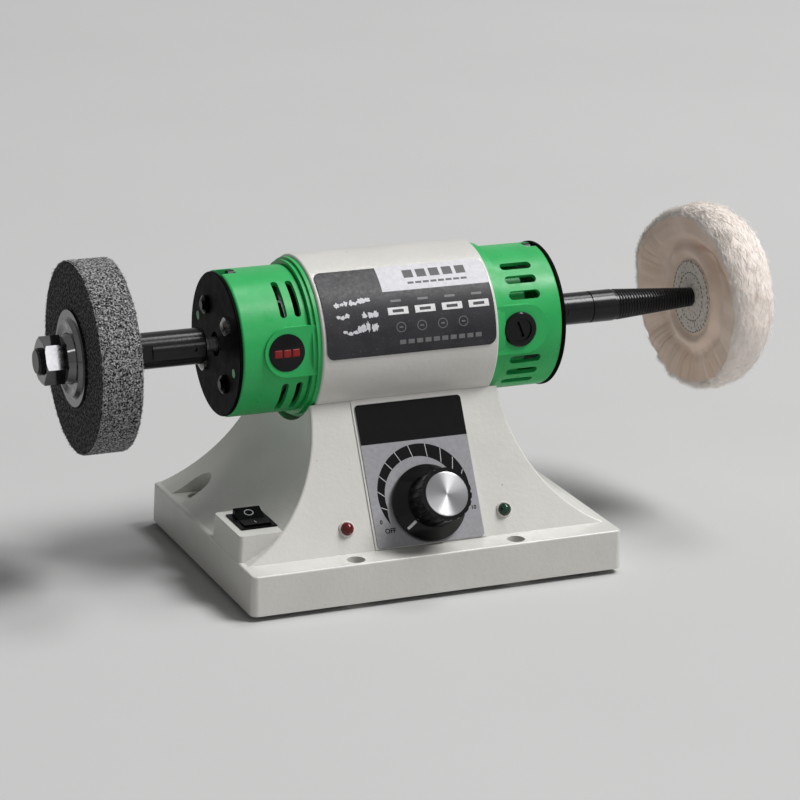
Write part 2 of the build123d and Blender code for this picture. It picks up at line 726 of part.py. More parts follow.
def rocker():
    half = ROCKER_LENGTH / 2
    top = Polyline((-half, 0), (-half, ROCKER_RISE), (0, ROCKER_RISE - ROCKER_DISH), (half, ROCKER_RISE), (half, 0))
    belly = ThreePointArc((half, 0), (0, -ROCKER_BELLY), (-half, 0))
    key = extrude(Plane.YZ * make_face([top, belly]), ROCKER_WIDTH / 2, both=True)
    key += Rot(0, 90, 0) * Cylinder(ROCKER_PIN / 2, BODY_WIDTH - SWITCH_WALL - 2 * SEAT)
    return Pos(SWITCH_X, SWITCH_Y, PIVOT_Z) * Rot(ROCKER_TILT, 0, 0) * key


# Control board inside the base

BOARD_Z = BASE_Z + PLATE + PILLAR_HEIGHT


def control_board():
    return Pos(BOARD_X, BOARD_Y, BOARD_Z + BOARD / 2) * Box(BOARD_LENGTH, BOARD_WIDTH, BOARD)


def board_pillars():
    reach_x = BOARD_LENGTH / 2 - PILLAR_INSET
    reach_y = BOARD_WIDTH / 2 - PILLAR_INSET
    return [
        upright(BOARD_X + x * reach_x, BOARD_Y + y * reach_y, BASE_Z + PLATE, BOARD_Z, PILLAR)
        for x in (-1, 1) for y in (-1, 1)
    ]


def heat_sink():
    top = BOARD_Z + BOARD
    sink = Pos(0, 0, top + SINK_FOOT / 2) * Box(SINK_LENGTH, SINK_WIDTH, SINK_FOOT)
    pitch = (SINK_LENGTH - SINK_FIN) / (SINK_FINS - 1)
    for i in range(SINK_FINS):
        x = (SINK_FIN - SINK_LENGTH) / 2 + pitch * i
        sink += Pos(x, 0, top + SINK_HEIGHT / 2) * Box(SINK_FIN, SINK_WIDTH, SINK_HEIGHT)
    return Pos(BOARD_X - SINK_SHIFT, BOARD_Y, 0) * sink


def capacitor():
    x = BOARD_X + BOARD_LENGTH / 2 - PILLAR_INSET - PILLAR / 2 - CAPACITOR / 2
    foot = BOARD_Z + BOARD
    return upright(x, BOARD_Y, foot, foot + CAPACITOR_HEIGHT, CAPACITOR)


def cord_inlet():
    bore = INLET_BORE / 2
    neck = INLET_BODY / 2
    rim = INLET_FLANGE / 2
    edge = INLET_LIP / 2
    shape = turned((bore, -WALL - INLET_LIP), (neck + edge, -WALL - INLET_LIP), (neck + edge, -WALL),
                   (neck, -WALL), (neck, 0), (rim, 0), (rim, edge), (rim - edge, INLET_LIP), (bore, INLET_LIP))
    return rear_plane(INLET_X, INLET_RISE).location * shape


# Motor shell

def motor_sleeve():
    shell = tube(SLEEVE_LEFT, SLEEVE_RIGHT, SLEEVE_R, SLEEVE_BORE)
    ends = ring_edges(shell, SLEEVE_LEFT, SLEEVE_R) + ring_edges(shell, SLEEVE_RIGHT, SLEEVE_R)
    shell = MOTOR * fillet(ends, SLEEVE_EDGE)
    for x, y in SADDLE_SCREWS:
        shell -= upright(x, y, PLINTH_TOP, AXIS_Z, SADDLE_SCREW + 2 * PUSH_FIT)
    return shell - upright(WIRE_HOLE_X, AXIS_BACK, PLINTH_TOP, AXIS_Z, WIRE_HOLE)


def saddle_screw(x, y):
    """Screw from inside the base into the sleeve, with its head under the saddle wall."""
    reach = SADDLE_SCREW_Y / 2 + SADDLE_SCREW_HEAD / 2
    seat = AXIS_Z - sqrt((SLEEVE_R + SEAT + WALL) ** 2 - max(0, reach - SADDLE_SCREW_HEAD) ** 2)
    tip = AXIS_Z - sqrt(SLEEVE_BORE ** 2 - (y - AXIS_BACK) ** 2) - SLEEVE_WALL / 4
    head = upright(x, y, seat - SADDLE_SCREW_HEAD_HEIGHT, seat, SADDLE_SCREW_HEAD)
    return head + upright(x, y, seat, tip, SADDLE_SCREW)


def nameplate():
    middle = (NAMEPLATE_START + NAMEPLATE_END) / 2
    chord = 2 * SLEEVE_R * sin(radians((NAMEPLATE_END - NAMEPLATE_START) / 2))
    length = SLEEVE_RIGHT - SLEEVE_LEFT - 2 * NAMEPLATE_MARGIN
    centre = (SLEEVE_RIGHT + SLEEVE_LEFT) / 2
    outline = radial_plane(centre, middle, 0) * RectangleRounded(length, chord, NAMEPLATE_CORNER)
    back = SLEEVE_R + NAMEPLATE_GLUE
    sheet = tube(SLEEVE_LEFT, SLEEVE_RIGHT, back + NAMEPLATE, back)
    return MOTOR * (sheet & extrude(outline, 2 * SLEEVE_R))


# End bells

def boss(at, angle, side):
    """Raised pad with one round end, which runs back to the flange."""
    plane = radial_plane(at(BOSS_PLACE), angle, BELL_BORE / 2)
    run = BOSS_PLACE
    outline = Circle(BOSS_WIDTH / 2) + Pos(-side * run / 2, 0) * Rectangle(run, BOSS_WIDTH)
    return extrude(plane * outline, BOSS_DISTANCE - BELL_BORE / 2)


def bell_blank(side, seam, length, flange, flange_length, notch, lip):
    """End bell before its air slots: barrel, flange, spigot, bosses, bearing hub and tie-bolt lugs."""

    def at(u):
        return seam + side * u

    step = flange_length + BELL_GROOVE
    solid = lathe((at(-SPIGOT), 0), (at(-SPIGOT), SPIGOT_R), (at(0), SPIGOT_R), (at(0), flange / 2),
                  (at(flange_length / 2), flange / 2), (at(flange_length / 2), flange / 2 - lip),
                  (at(flange_length), flange / 2 - lip), (at(flange_length), BELL_R - BELL_GROOVE_DEPTH),
                  (at(step), BELL_R - BELL_GROOVE_DEPTH), (at(step), BELL_R), (at(length), BELL_R),
                  (at(length), 0))
    solid = fillet(ring_edges(solid, at(length), BELL_R), BELL_EDGE)
    envelope = solid
    for angle in SIDES:
        solid += boss(at, angle, side)

    floor = length - END_WALL
    spigot_bore = SPIGOT_R - SPIGOT_WALL
    solid -= lathe((at(-2 * SPIGOT), 0), (at(-2 * SPIGOT), spigot_bore), (at(0), spigot_bore),
                   (at(0), BELL_BORE), (at(floor), BELL_BORE), (at(floor), 0))
    race = BEARING / 2 + PUSH_FIT
    pocket = length - BEARING_LIP
    solid += tube(at(pocket), at(pocket - BEARING_WIDTH), race + HUB_WALL, race)
    solid -= rod(at(pocket), at(-SPIGOT), race)
    solid -= rod(at(length + END_WALL), at(-SPIGOT), BEARING / 2 - BEARING_RACE)

    shelf = length - notch
    for angle in TIE_ANGLES:
        solid += along_shaft(at(-SPIGOT), at(shelf), TIE_LUG_R, angle, TIE_CIRCLE_R) & envelope
    for angle in TIE_ANGLES:
        solid -= along_shaft(at(-2 * SPIGOT), at(length), TIE_HOLE_R, angle, TIE_CIRCLE_R)
        floor_plane = radial_plane(at(length), angle, TIE_CIRCLE_R - TIE_BOLT_HEAD / 2 - SEAT)
        solid -= extrude(floor_plane * Rectangle(2 * notch, NOTCH_WIDTH), BELL_R)
    for i in range(COVER_SCREWS):
        angle = COVER_SCREW_ANGLE + 360 / COVER_SCREWS * i
        hole = COVER_SCREW / 2 + PUSH_FIT
        solid -= along_shaft(at(length + END_WALL), at(floor - END_WALL), hole, angle, COVER_SCREW_CIRCLE / 2)
    return solid


def round_slot(x, start):
    """Slot across the left bell, with round ends."""
    end = degrees(LEFT_SLOT / 2 / BELL_R)
    slot = sector(x - LEFT_SLOT / 2, x + LEFT_SLOT / 2, BELL_BORE - BELL_WALL, BELL_R + BELL_WALL,
                  start + end, LEFT_SLOT_SWEEP - 2 * end)
    for angle in (start + end, start + LEFT_SLOT_SWEEP - end):
        mouth = radial_plane(x, angle, BELL_BORE - BELL_WALL)
        slot += extrude(mouth * Circle(LEFT_SLOT / 2), 3 * BELL_WALL)
    return slot


def left_end_bell():
    bell = bell_blank(-1, SLEEVE_LEFT, LEFT_BELL_LENGTH, LEFT_FLANGE, LEFT_FLANGE_LENGTH, LEFT_NOTCH, FLANGE_STEP)
    for i in range(2):
        middle = SLEEVE_LEFT - LEFT_SLOT_NEAR - LEFT_SLOT_STEP * i
        for angle in SIDES:
            for turn in (LEFT_SLOT_START, -LEFT_SLOT_START - LEFT_SLOT_SWEEP):
                bell -= round_slot(middle, angle + turn)
    for angle in (COVER_HOLE_ANGLE, COVER_HOLE_ANGLE + 180):
        bell += along_shaft(LEFT_END + END_WALL / 2, LEFT_COVER_FACE + SEAT, COVER_HOLE / 2 - SEAT, angle,
                            COVER_HOLE_CIRCLE / 2)
    recess = radial_plane(BADGE_X, FRONT_ANGLE, BOSS_DISTANCE - BADGE_SINK)
    bell -= extrude(recess * Circle(BADGE / 2 + SEAT), BELL_WALL)
    return MOTOR * bell


def right_end_bell():
    bell = bell_blank(1, SLEEVE_RIGHT, RIGHT_BELL_LENGTH, RIGHT_FLANGE, RIGHT_FLANGE_LENGTH, RIGHT_NOTCH, 0.3)
    ring = BELL_BORE - INNER_RING_DEPTH
    for angle in SIDES:
        for i in range(RIGHT_SLOTS):
            for turn in (-1, 1):
                slot_angle = angle + turn * (RIGHT_SLOT_START + RIGHT_SLOT_STEP * i)
                plane = radial_plane(SLEEVE_RIGHT + RIGHT_SLOT_MIDDLE, slot_angle, BELL_BORE - BELL_WALL)
                bell -= extrude(plane * SlotOverall(RIGHT_SLOT_LENGTH, RIGHT_SLOT), 4 * BELL_WALL)
    for angle in SIDES:
        for length, radius in ((INNER_RING, BELL_BORE + SEAT), (INNER_RING_LENGTH, ring)):
            bell += sector(SLEEVE_RIGHT, SLEEVE_RIGHT + length, ring - INNER_RING, radius,
                           angle - INNER_RING_REACH, 2 * INNER_RING_REACH)
        mouth = radial_plane(BRUSH_X, angle, HOLDER_START)
        bell -= extrude(mouth * Circle(HOLDER / 2 + PUSH_FIT), BELL_R)
        seat = radial_plane(BRUSH_X, angle, BOSS_DISTANCE)
        bell -= extrude(seat * Circle(HOLDER_RING / 2 + SEAT), BELL_R)
    return MOTOR * bell


def badge_disc():
    """Slightly domed disc in its recess."""
    radius = BADGE / 2
    ball = (radius ** 2 + BADGE_DOME ** 2) / (2 * BADGE_DOME)
    top = BADGE_SINK + BADGE_PROUD + BADGE_DOME
    disc = Pos(0, 0, top / 2) * Cylinder(radius, top) & Pos(0, 0, top - ball) * Sphere(ball)
    return MOTOR * radial_plane(BADGE_X, FRONT_ANGLE, BOSS_DISTANCE - BADGE_SINK).location * disc


def tie_bolt(angle):
    left = LEFT_END + LEFT_NOTCH
    right = RIGHT_END - RIGHT_NOTCH
    bolt = along_shaft(left, right + TIE_BOLT_HEAD_HEIGHT, TIE_BOLT / 2, angle, TIE_CIRCLE_R)
    for x in (left - TIE_BOLT_HEAD_HEIGHT, right):
        bolt += along_shaft(x, x + TIE_BOLT_HEAD_HEIGHT, TIE_BOLT_HEAD / 2, angle, TIE_CIRCLE_R)
    return MOTOR * bolt


def cover_plate(x0, x1, diameter, holes):
    edge = diameter / 2 - COVER_EDGE
    plate = lathe((x0, COVER_BORE / 2), (x0, edge), (x0 + COVER_EDGE, diameter / 2), (x1 - COVER_EDGE, diameter / 2),
                  (x1, edge), (x1, COVER_BORE / 2))
    for angle in holes:
        plate -= along_shaft(x0 - END_WALL, x1 + END_WALL, COVER_HOLE / 2, angle, COVER_HOLE_CIRCLE / 2)
    for i in range(COVER_SCREWS):
        angle = COVER_SCREW_ANGLE + 360 / COVER_SCREWS * i
        plate -= along_shaft(x0 - END_WALL, x1 + END_WALL, COVER_SCREW / 2 + SEAT, angle, COVER_SCREW_CIRCLE / 2)
    return MOTOR * plate


def cover_screws(face, wall_inside, side):
    """Domed screws that hold one cover plate to its bell."""
    screws = []
    head = COVER_SCREW_HEAD / 2
    for i in range(COVER_SCREWS):
        turn = radians(COVER_SCREW_ANGLE + 360 / COVER_SCREWS * i)
        reach = COVER_SCREW_CIRCLE / 2
        top = face + side * COVER_SCREW_HEAD_HEIGHT
        shape = lathe((wall_inside, 0), (wall_inside, COVER_SCREW / 2), (face, COVER_SCREW / 2), (face, head),
                      (face + side * COVER_SCREW_HEAD_HEIGHT / 2, head), (top, head / 2), (top, 0))
        screws.append(MOTOR * Pos(0, -reach * sin(turn), reach * cos(turn)) * shape)
    return screws


# Bearings

LEFT_BEARING_OUT = LEFT_END + BEARING_LIP
RIGHT_BEARING_OUT = RIGHT_END - BEARING_LIP


def bearing_outer(x0):
    """Outer ring with its two shields."""
    x1 = x0 + BEARING_WIDTH
    rim = BEARING / 2
    race = rim - BEARING_RACE
    lip = BEARING_INNER / 2 + AIR
    ring = lathe((x0, lip), (x0, rim), (x1, rim), (x1, lip), (x1 - BEARING_SHIELD, lip),
                 (x1 - BEARING_SHIELD, race), (x0 + BEARING_SHIELD, race), (x0 + BEARING_SHIELD, lip))
    return MOTOR * ring


def bearing_inner(x0):
    return MOTOR * tube(x0, x0 + BEARING_WIDTH, BEARING_INNER / 2, SHAFT_R + PUSH_FIT)


# Stator

STATOR_BORE = ARMATURE / 2 + AIR_GAP
STATOR_R = SLEEVE_BORE - PUSH_FIT
WINDOW_R = STATOR_R - YOKE


def stator_core():
    core = tube(CORE_LEFT, CORE_RIGHT, STATOR_R, STATOR_BORE)
    for pole in TIE_ANGLES:
        core -= along_shaft(CORE_LEFT - YOKE, CORE_RIGHT + YOKE, TIE_HOLE_R, pole, TIE_CIRCLE_R)
        for turn in (POLE_HALF_ANGLE, -POLE_HALF_ANGLE - WINDOW_ANGLE):
            core -= sector(CORE_LEFT - YOKE, CORE_RIGHT + YOKE, STATOR_BORE / 2, WINDOW_R, pole + turn, WINDOW_ANGLE)
    return MOTOR * core


def field_coil(pole):
    """Saddle-shaped coil: two sides in the windows and an end turn over each face of the pole."""
    inner = STATOR_BORE + COIL_INNER_STEP
    outer = WINDOW_R - COIL_PLAY
    half = POLE_HALF_ANGLE + WINDOW_ANGLE - 1
    hole = POLE_HALF_ANGLE + 1
    coil = sector(CORE_LEFT - COIL_END - COIL_PLAY, CORE_RIGHT + COIL_END + COIL_PLAY, inner, outer,
                  pole - half, 2 * half)
    coil -= sector(CORE_LEFT - COIL_PLAY, CORE_RIGHT + COIL_PLAY, inner / 2, 2 * outer, pole - hole, 2 * hole)
    return MOTOR * coil


# Armature

SLOT_FLOOR = ARMATURE / 2 - ARMATURE_SLOT_DEPTH
COMMUTATOR_LEFT = BRUSH_X - COMMUTATOR_LENGTH / 2
COMMUTATOR_RIGHT = BRUSH_X + COMMUTATOR_LENGTH / 2


def motor_shaft():
    left = LEFT_SPINDLE_FACE - SPINDLE_GRIP
    right = RIGHT_SPINDLE_FACE + SPINDLE_GRIP
    shaft = lathe((left, 0), (left, SHAFT_END / 2), (LEFT_BEARING_OUT, SHAFT_END / 2),
                  (LEFT_BEARING_OUT, SHAFT_R), (RIGHT_BEARING_OUT, SHAFT_R),
                  (RIGHT_BEARING_OUT, SHAFT_END / 2), (right, SHAFT_END / 2), (right, 0))
    return MOTOR * shaft


def slot_bars(x0, x1, width, floor, top):
    """Radial bars spaced evenly round the shaft."""
    bar = Pos((x0 + x1) / 2, 0, (floor + top) / 2) * Box(x1 - x0, width, top - floor)
    return [Rot(360 / ARMATURE_SLOTS * i, 0, 0) * bar for i in range(ARMATURE_SLOTS)]


def armature_core():
    core = tube(CORE_LEFT, CORE_RIGHT, ARMATURE / 2, SHAFT_R + PUSH_FIT)
    core -= slot_bars(CORE_LEFT - 1, CORE_RIGHT + 1, ARMATURE_SLOT, SLOT_FLOOR, ARMATURE)
    return MOTOR * core


def armature_winding():
    """Wires in the core's slots, gathered into a rounded head at each end of the core."""
    width = ARMATURE_SLOT - 2 * SEAT
    top = ARMATURE / 2 - WINDING_STEP / 2
    winding = Part() + slot_bars(CORE_LEFT - 1, CORE_RIGHT + 1, width, SLOT_FLOOR + SEAT, top)
    for face, side in ((CORE_LEFT, -1), (CORE_RIGHT, 1)):
        crown = ARMATURE / 2 - WINDING_STEP
        near = face + side * SEAT
        far = face + side * WINDING_END
        winding += lathe((near, SHAFT_R + PUSH_FIT), (near, crown), (face + side * WINDING_END / 2, crown),
                         (far, WINDING_CORE / 2), (far, SHAFT_R + PUSH_FIT))
    return MOTOR * winding


def commutator():
    riser = COMMUTATOR_R + COMMUTATOR_RISER_RISE
    step = COMMUTATOR_LEFT + COMMUTATOR_RISER
    bore = SHAFT_R + PUSH_FIT
    shape = lathe((COMMUTATOR_LEFT, bore), (COMMUTATOR_LEFT, riser), (step, riser), (step, COMMUTATOR_R),
                  (COMMUTATOR_RIGHT, COMMUTATOR_R), (COMMUTATOR_RIGHT, bore))
    return MOTOR * shape


def cooling_fan():
    """Radial fan on the drive end: a hub, a disc and straight blades."""
    x0 = SLEEVE_LEFT - FAN_PLACE
    x1 = x0 + FAN_LENGTH
    bore = SHAFT_R + PUSH_FIT
    fan = tube(x0, x1, FAN_HUB / 2, bore) + tube(x1 - FAN_DISC, x1, FAN / 2, bore)
    root = FAN_HUB / 2 - FAN_BLADE
    blade = Pos((x0 + x1) / 2, 0, (root + FAN / 2) / 2) * Box(FAN_LENGTH, FAN_BLADE, FAN / 2 - root)
    for i in range(FAN_BLADES):
        fan += Rot(360 / FAN_BLADES * i, 0, 0) * blade
    return MOTOR * fan


# Brush gear

def on_boss(angle, shape):
    return MOTOR * radial_plane(BRUSH_X, angle, 0).location * shape


def brush_holder(angle):
    ring = HOLDER_RING / 2
    body = HOLDER / 2
    top = BOSS_DISTANCE + HOLDER_RING_RISE
    edge = HOLDER_RING_RISE / 2
    shape = turned((0, HOLDER_START), (body, HOLDER_START), (body, BOSS_DISTANCE), (ring, BOSS_DISTANCE),
                   (ring, top - edge), (ring - edge, top), (HOLDER_BORE_R, top), (HOLDER_BORE_R, CAP_BOTTOM),
                   (0, CAP_BOTTOM))
    channel = Box(BRUSH_LENGTH_X + 2 * BRUSH_AIR, BRUSH_WIDTH + 2 * BRUSH_AIR, 2 * BELL)
    return on_boss(angle, shape - channel)


def brush(angle):
    block = Pos(0, 0, COMMUTATOR_R + BRUSH_HEIGHT / 2) * Box(BRUSH_LENGTH_X, BRUSH_WIDTH, BRUSH_HEIGHT)
    worn = Rot(0, 90, 0) * Cylinder(COMMUTATOR_R + SEAT, 2 * BRUSH_LENGTH_X)
    return on_boss(angle, block - worn)


def brush_spring(angle):
    foot = COMMUTATOR_R + BRUSH_HEIGHT
    shape = turned((SPRING / 2 - SPRING_WALL, foot), (SPRING / 2, foot), (SPRING / 2, CAP_BOTTOM),
                   (SPRING / 2 - SPRING_WALL, CAP_BOTTOM))
    return on_boss(angle, shape)


def brush_cap(angle):
    radius = HOLDER_BORE_R - PUSH_FIT
    cap = Pos(0, 0, (CAP_BOTTOM + CAP_TOP) / 2) * Cylinder(radius, BRUSH_CAP_HEIGHT)
    cap -= Pos(0, 0, CAP_TOP) * Rot(0, 0, CAP_SLOT_TURN) * Box(1.4 * radius, CAP_SLOT, 2 * CAP_SLOT_DEPTH)
    return on_boss(angle, cap)


# Left spindle, wheel and clamp

def spindle_socket(face, side):
    bore = SHAFT_END / 2 + PUSH_FIT
    return rod(face, face + side * (SPINDLE_GRIP + SEAT), bore)


def grub_hole(face, side, radius):
    plane = radial_plane(face + side * GRUB_PLACE, FRONT_ANGLE, 0)
    return extrude(plane * Circle(GRUB / 2 + PUSH_FIT), 2 * radius)


def grub_screw(face, side, radius):
    plane = radial_plane(face + side * GRUB_PLACE, FRONT_ANGLE, SHAFT_END / 2 + PUSH_FIT)
    grub = extrude(plane * Circle(GRUB / 2), radius - GRUB_SINK - SHAFT_END / 2)
    socket = radial_plane(face + side * GRUB_PLACE, FRONT_ANGLE, radius - GRUB / 3)
    return MOTOR * (grub - extrude(socket * RegularPolygon(GRUB / 4, 6), radius))


def left_spindle():
    radius = SPINDLE / 2
    body = lathe((LEFT_SPINDLE_FACE, 0), (LEFT_SPINDLE_FACE, radius - SPINDLE_EDGE),
                 (LEFT_SPINDLE_FACE - SPINDLE_EDGE, radius), (WHEEL_SHOULDER, radius), (WHEEL_SHOULDER, STUD / 2),
                 (STUD_END + SPINDLE_EDGE, STUD / 2), (STUD_END, STUD / 2 - SPINDLE_EDGE), (STUD_END, 0))
    body -= spindle_socket(LEFT_SPINDLE_FACE, -1)
    body -= grub_hole(LEFT_SPINDLE_FACE, -1, radius)
    middle = WHEEL_SHOULDER + SPINDLE_FLAT_START + SPINDLE_FLAT_LENGTH / 2
    for angle in SIDES:
        plane = radial_plane(middle, angle, SPINDLE_FLAT / 2)
        body -= extrude(plane * Rectangle(SPINDLE_FLAT_LENGTH, 2 * SPINDLE), SPINDLE)
    return MOTOR * body


def inner_flange():
    radius = CLAMP_FLANGE / 2
    bore = STUD / 2 + PUSH_FIT
    shape = lathe((WHEEL_INNER, bore), (WHEEL_INNER, radius), (WHEEL_INNER + FLANGE_LIP, radius),
                  (WHEEL_SHOULDER, FLANGE_RIDGE / 2), (WHEEL_SHOULDER, bore))
    return MOTOR * shape


def fibre_wheel():
    wheel = tube(WHEEL_OUTER, WHEEL_INNER, WHEEL / 2, STUD / 2 + PUSH_FIT)
    rims = ring_edges(wheel, WHEEL_OUTER, WHEEL / 2) + ring_edges(wheel, WHEEL_INNER, WHEEL / 2)
    return MOTOR * chamfer(rims, WHEEL_EDGE)


def outer_flange():
    """Pressed cup washer: flat lip, raised ridge, and a dish that drops to the hub."""
    bore = STUD / 2 + PUSH_FIT
    lip = WHEEL_OUTER - FLANGE_LIP
    ridge = WHEEL_OUTER - FLANGE_RIDGE_RISE
    dish = WHEEL_OUTER - FLANGE_DISH
    hub = FLANGE_HUB / 2
    slope = (FLANGE_RIDGE - FLANGE_HUB) / 8
    shape = lathe((WHEEL_OUTER, bore), (WHEEL_OUTER, CLAMP_FLANGE / 2), (lip, CLAMP_FLANGE / 2),
                  (lip, FLANGE_RIDGE / 2 + slope), (ridge, FLANGE_RIDGE / 2), (ridge, FLANGE_RIDGE / 2 - slope),
                  (dish, hub + slope), (dish, hub), (NUT_SEAT, hub - slope), (NUT_SEAT, bore))
    return MOTOR * shape


def spindle_nut():
    corner = NUT / 2 / cos(radians(30))
    flank = NUT_CHAMFER * tan(radians(30))
    blank = Plane(origin=(NUT_FACE, 0, 0), x_dir=(0, 0, 1), z_dir=(1, 0, 0)) * RegularPolygon(
        NUT / 2, 6, major_radius=False)
    nut = Rot(NUT_ANGLE, 0, 0) * extrude(blank, NUT_HEIGHT)
    dome = lathe((NUT_SEAT, 0), (NUT_SEAT, corner), (NUT_FACE + flank, corner), (NUT_FACE, corner - NUT_CHAMFER),
                 (NUT_FACE, 0))
    return MOTOR * ((nut & dome) - rod(NUT_FACE - NUT, NUT_SEAT + NUT, STUD / 2 + PUSH_FIT))


# Right spindle and buff

def taper_radius(x):
    return (TAPER_START + (TAPER_END - TAPER_START) * (x - TAPER_X) / TAPER_LENGTH) / 2


def right_spindle():
    radius = RIGHT_SPINDLE / 2
    groove = TAPER_X - RING_GROOVE_PLACE
    low = radius - RING_GROOVE_DEPTH
    tip = TAPER_TIP - TIP_EDGE
    body = lathe((RIGHT_SPINDLE_FACE, 0), (RIGHT_SPINDLE_FACE, radius - SPINDLE_EDGE),
                 (RIGHT_SPINDLE_FACE + SPINDLE_EDGE, radius), (groove - RING_GROOVE, radius),
                 (groove - RING_GROOVE, low), (groove, low), (groove, radius), (TAPER_X, radius),
                 (TAPER_X, TAPER_START / 2), (tip, taper_radius(tip)), (TAPER_TIP, taper_radius(tip) - TIP_EDGE),
                 (TAPER_TIP, 0))
    body -= spindle_socket(RIGHT_SPINDLE_FACE, 1)
    return MOTOR * (body - grub_hole(RIGHT_SPINDLE_FACE, 1, radius))


def taper_bore(x0, x1):
    """The right spindle's taper, opened by a push fit, to bore what is wound onto it."""
    return lathe((x0, 0), (x0, taper_radius(x0) + PUSH_FIT), (x1, taper_radius(x1) + PUSH_FIT), (x1, 0))


BUFF_FACE = BUFF_X + BUFF_DISC_PLATE
BUFF_BACK = BUFF_FACE + BUFF_CORE


def buff_wheel():
    """Stitched cloth wheel: thin at the hub, dished on both faces, with a full round rim."""
    rim_front = BUFF_FACE - BUFF_LEAN_FRONT
    rim_back = rim_front + BUFF_RIM
    shoulder = BUFF_SHOULDER / 2
    hub = BUFF_HUB / 2
    faces = Polyline((rim_back, shoulder), (BUFF_BACK, hub), (BUFF_BACK, 0), (BUFF_FACE, 0), (BUFF_FACE, hub),
                     (rim_front, shoulder))
    rim = ThreePointArc((rim_front, shoulder), ((rim_front + rim_back) / 2, BUFF / 2), (rim_back, shoulder))
    wheel = revolve(Plane.XZ * make_face([faces, rim]), Axis.X)
    return MOTOR * (wheel - taper_bore(BUFF_FACE - BUFF_RIM, BUFF_BACK + BUFF_RIM))


def buff_disc(x0):
    disc = rod(x0, x0 + BUFF_DISC_PLATE, BUFF_DISC / 2)
    return MOTOR * (disc - taper_bore(x0 - BUFF_DISC_PLATE, x0 + 2 * BUFF_DISC_PLATE))


# Every node, with the solids it holds
NODES = {
    "base_housing": [base_housing()],
    "bottom_plate": [bottom_plate()],
    "foot_screws": [foot_screw(*place) for place in FEET],
    "dial_plate": [dial_plate()],
    "lamp_red": [lamp_lens(-1)],
    "lamp_green": [lamp_lens(1)],
    "lamp_collars": [lamp_collar(flank) for flank in (-1, 1)],
    "speed_knob": [speed_knob()],
    "knob_cap": [knob_cap()],
    "pot_shaft": [pot_shaft()],
    "potentiometer": [potentiometer()],
    "pot_nut": [pot_nut()],
    "switch_frame": [switch_frame()],
    "rocker": [rocker()],
    "control_board": [control_board()],
    "board_pillars": board_pillars(),
    "heat_sink": [heat_sink()],
    "capacitor": [capacitor()],
    "cord_inlet": [cord_inlet()],
    "motor_sleeve": [motor_sleeve()],
    "saddle_screws": [saddle_screw(*place) for place in SADDLE_SCREWS],
    "nameplate": [nameplate()],
    "left_end_bell": [left_end_bell()],
    "right_end_bell": [right_end_bell()],
    "badge_disc": [badge_disc()],
    "tie_bolts": [tie_bolt(angle) for angle in TIE_ANGLES],
    "left_cover": [cover_plate(LEFT_COVER_FACE, LEFT_END, LEFT_COVER, (COVER_HOLE_ANGLE, COVER_HOLE_ANGLE + 180))],
    "right_cover": [cover_plate(RIGHT_END, RIGHT_COVER_FACE, RIGHT_COVER, ())],
    "cover_screws": (cover_screws(LEFT_COVER_FACE, LEFT_END + END_WALL, -1)
                     + cover_screws(RIGHT_COVER_FACE, RIGHT_END - END_WALL, 1)),
    "left_bearing_outer": [bearing_outer(LEFT_BEARING_OUT)],
    "left_bearing_inner": [bearing_inner(LEFT_BEARING_OUT)],
    "right_bearing_outer": [bearing_outer(RIGHT_BEARING_OUT - BEARING_WIDTH)],
    "right_bearing_inner": [bearing_inner(RIGHT_BEARING_OUT - BEARING_WIDTH)],
    "stator_core": [stator_core()],
    "field_coils": [field_coil(pole) for pole in TIE_ANGLES],
    "motor_shaft": [motor_shaft()],
    "armature_core": [armature_core()],
    "armature_winding": [armature_winding()],
    "commutator": [commutator()],
    "cooling_fan": [cooling_fan()],
    "brushes": [brush(angle) for angle in SIDES],
    "brush_springs": [brush_spring(angle) for angle in SIDES],
    "left_spindle": [left_spindle()],
    "inner_flange": [inner_flange()],
    "fibre_wheel": [fibre_wheel()],
    "outer_flange": [outer_flange()],
    "spindle_nut": [spindle_nut()],
    "right_spindle": [right_spindle()],
    "grub_screws": [grub_screw(LEFT_SPINDLE_FACE, -1, SPINDLE / 2),
                    grub_screw(RIGHT_SPINDLE_FACE, 1, RIGHT_SPINDLE / 2)],
    "buff_wheel": [buff_wheel()],
    "buff_disc_front": [buff_disc(BUFF_X)],
    "buff_disc_back": [buff_disc(BUFF_BACK)],
}
for number, place in enumerate(FEET, 1):
    NODES[f"foot_{number}"] = [rubber_foot(*place)]
for name, angle in zip(("front", "back"), SIDES):
    NODES[f"brush_holder_{name}"] = [brush_holder(angle)]
    NODES[f"brush_cap_{name}"] = [brush_cap(angle)]

os.makedirs("parts", exist_ok=True)
for name, shapes in NODES.items():
    solids = [solid for shape in shapes for solid in shape.solids()]
    export_step(solids[0] if len(solids) == 1 else Compound(solids), f"parts/{name}.step")
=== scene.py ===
import functools
import json
from math import atan2, copysign, cos, degrees, hypot, pi, radians, sin, sqrt

import bpy
import numpy as np
from mathutils import Matrix, Vector, noise
from mathutils.bvhtree import BVHTree


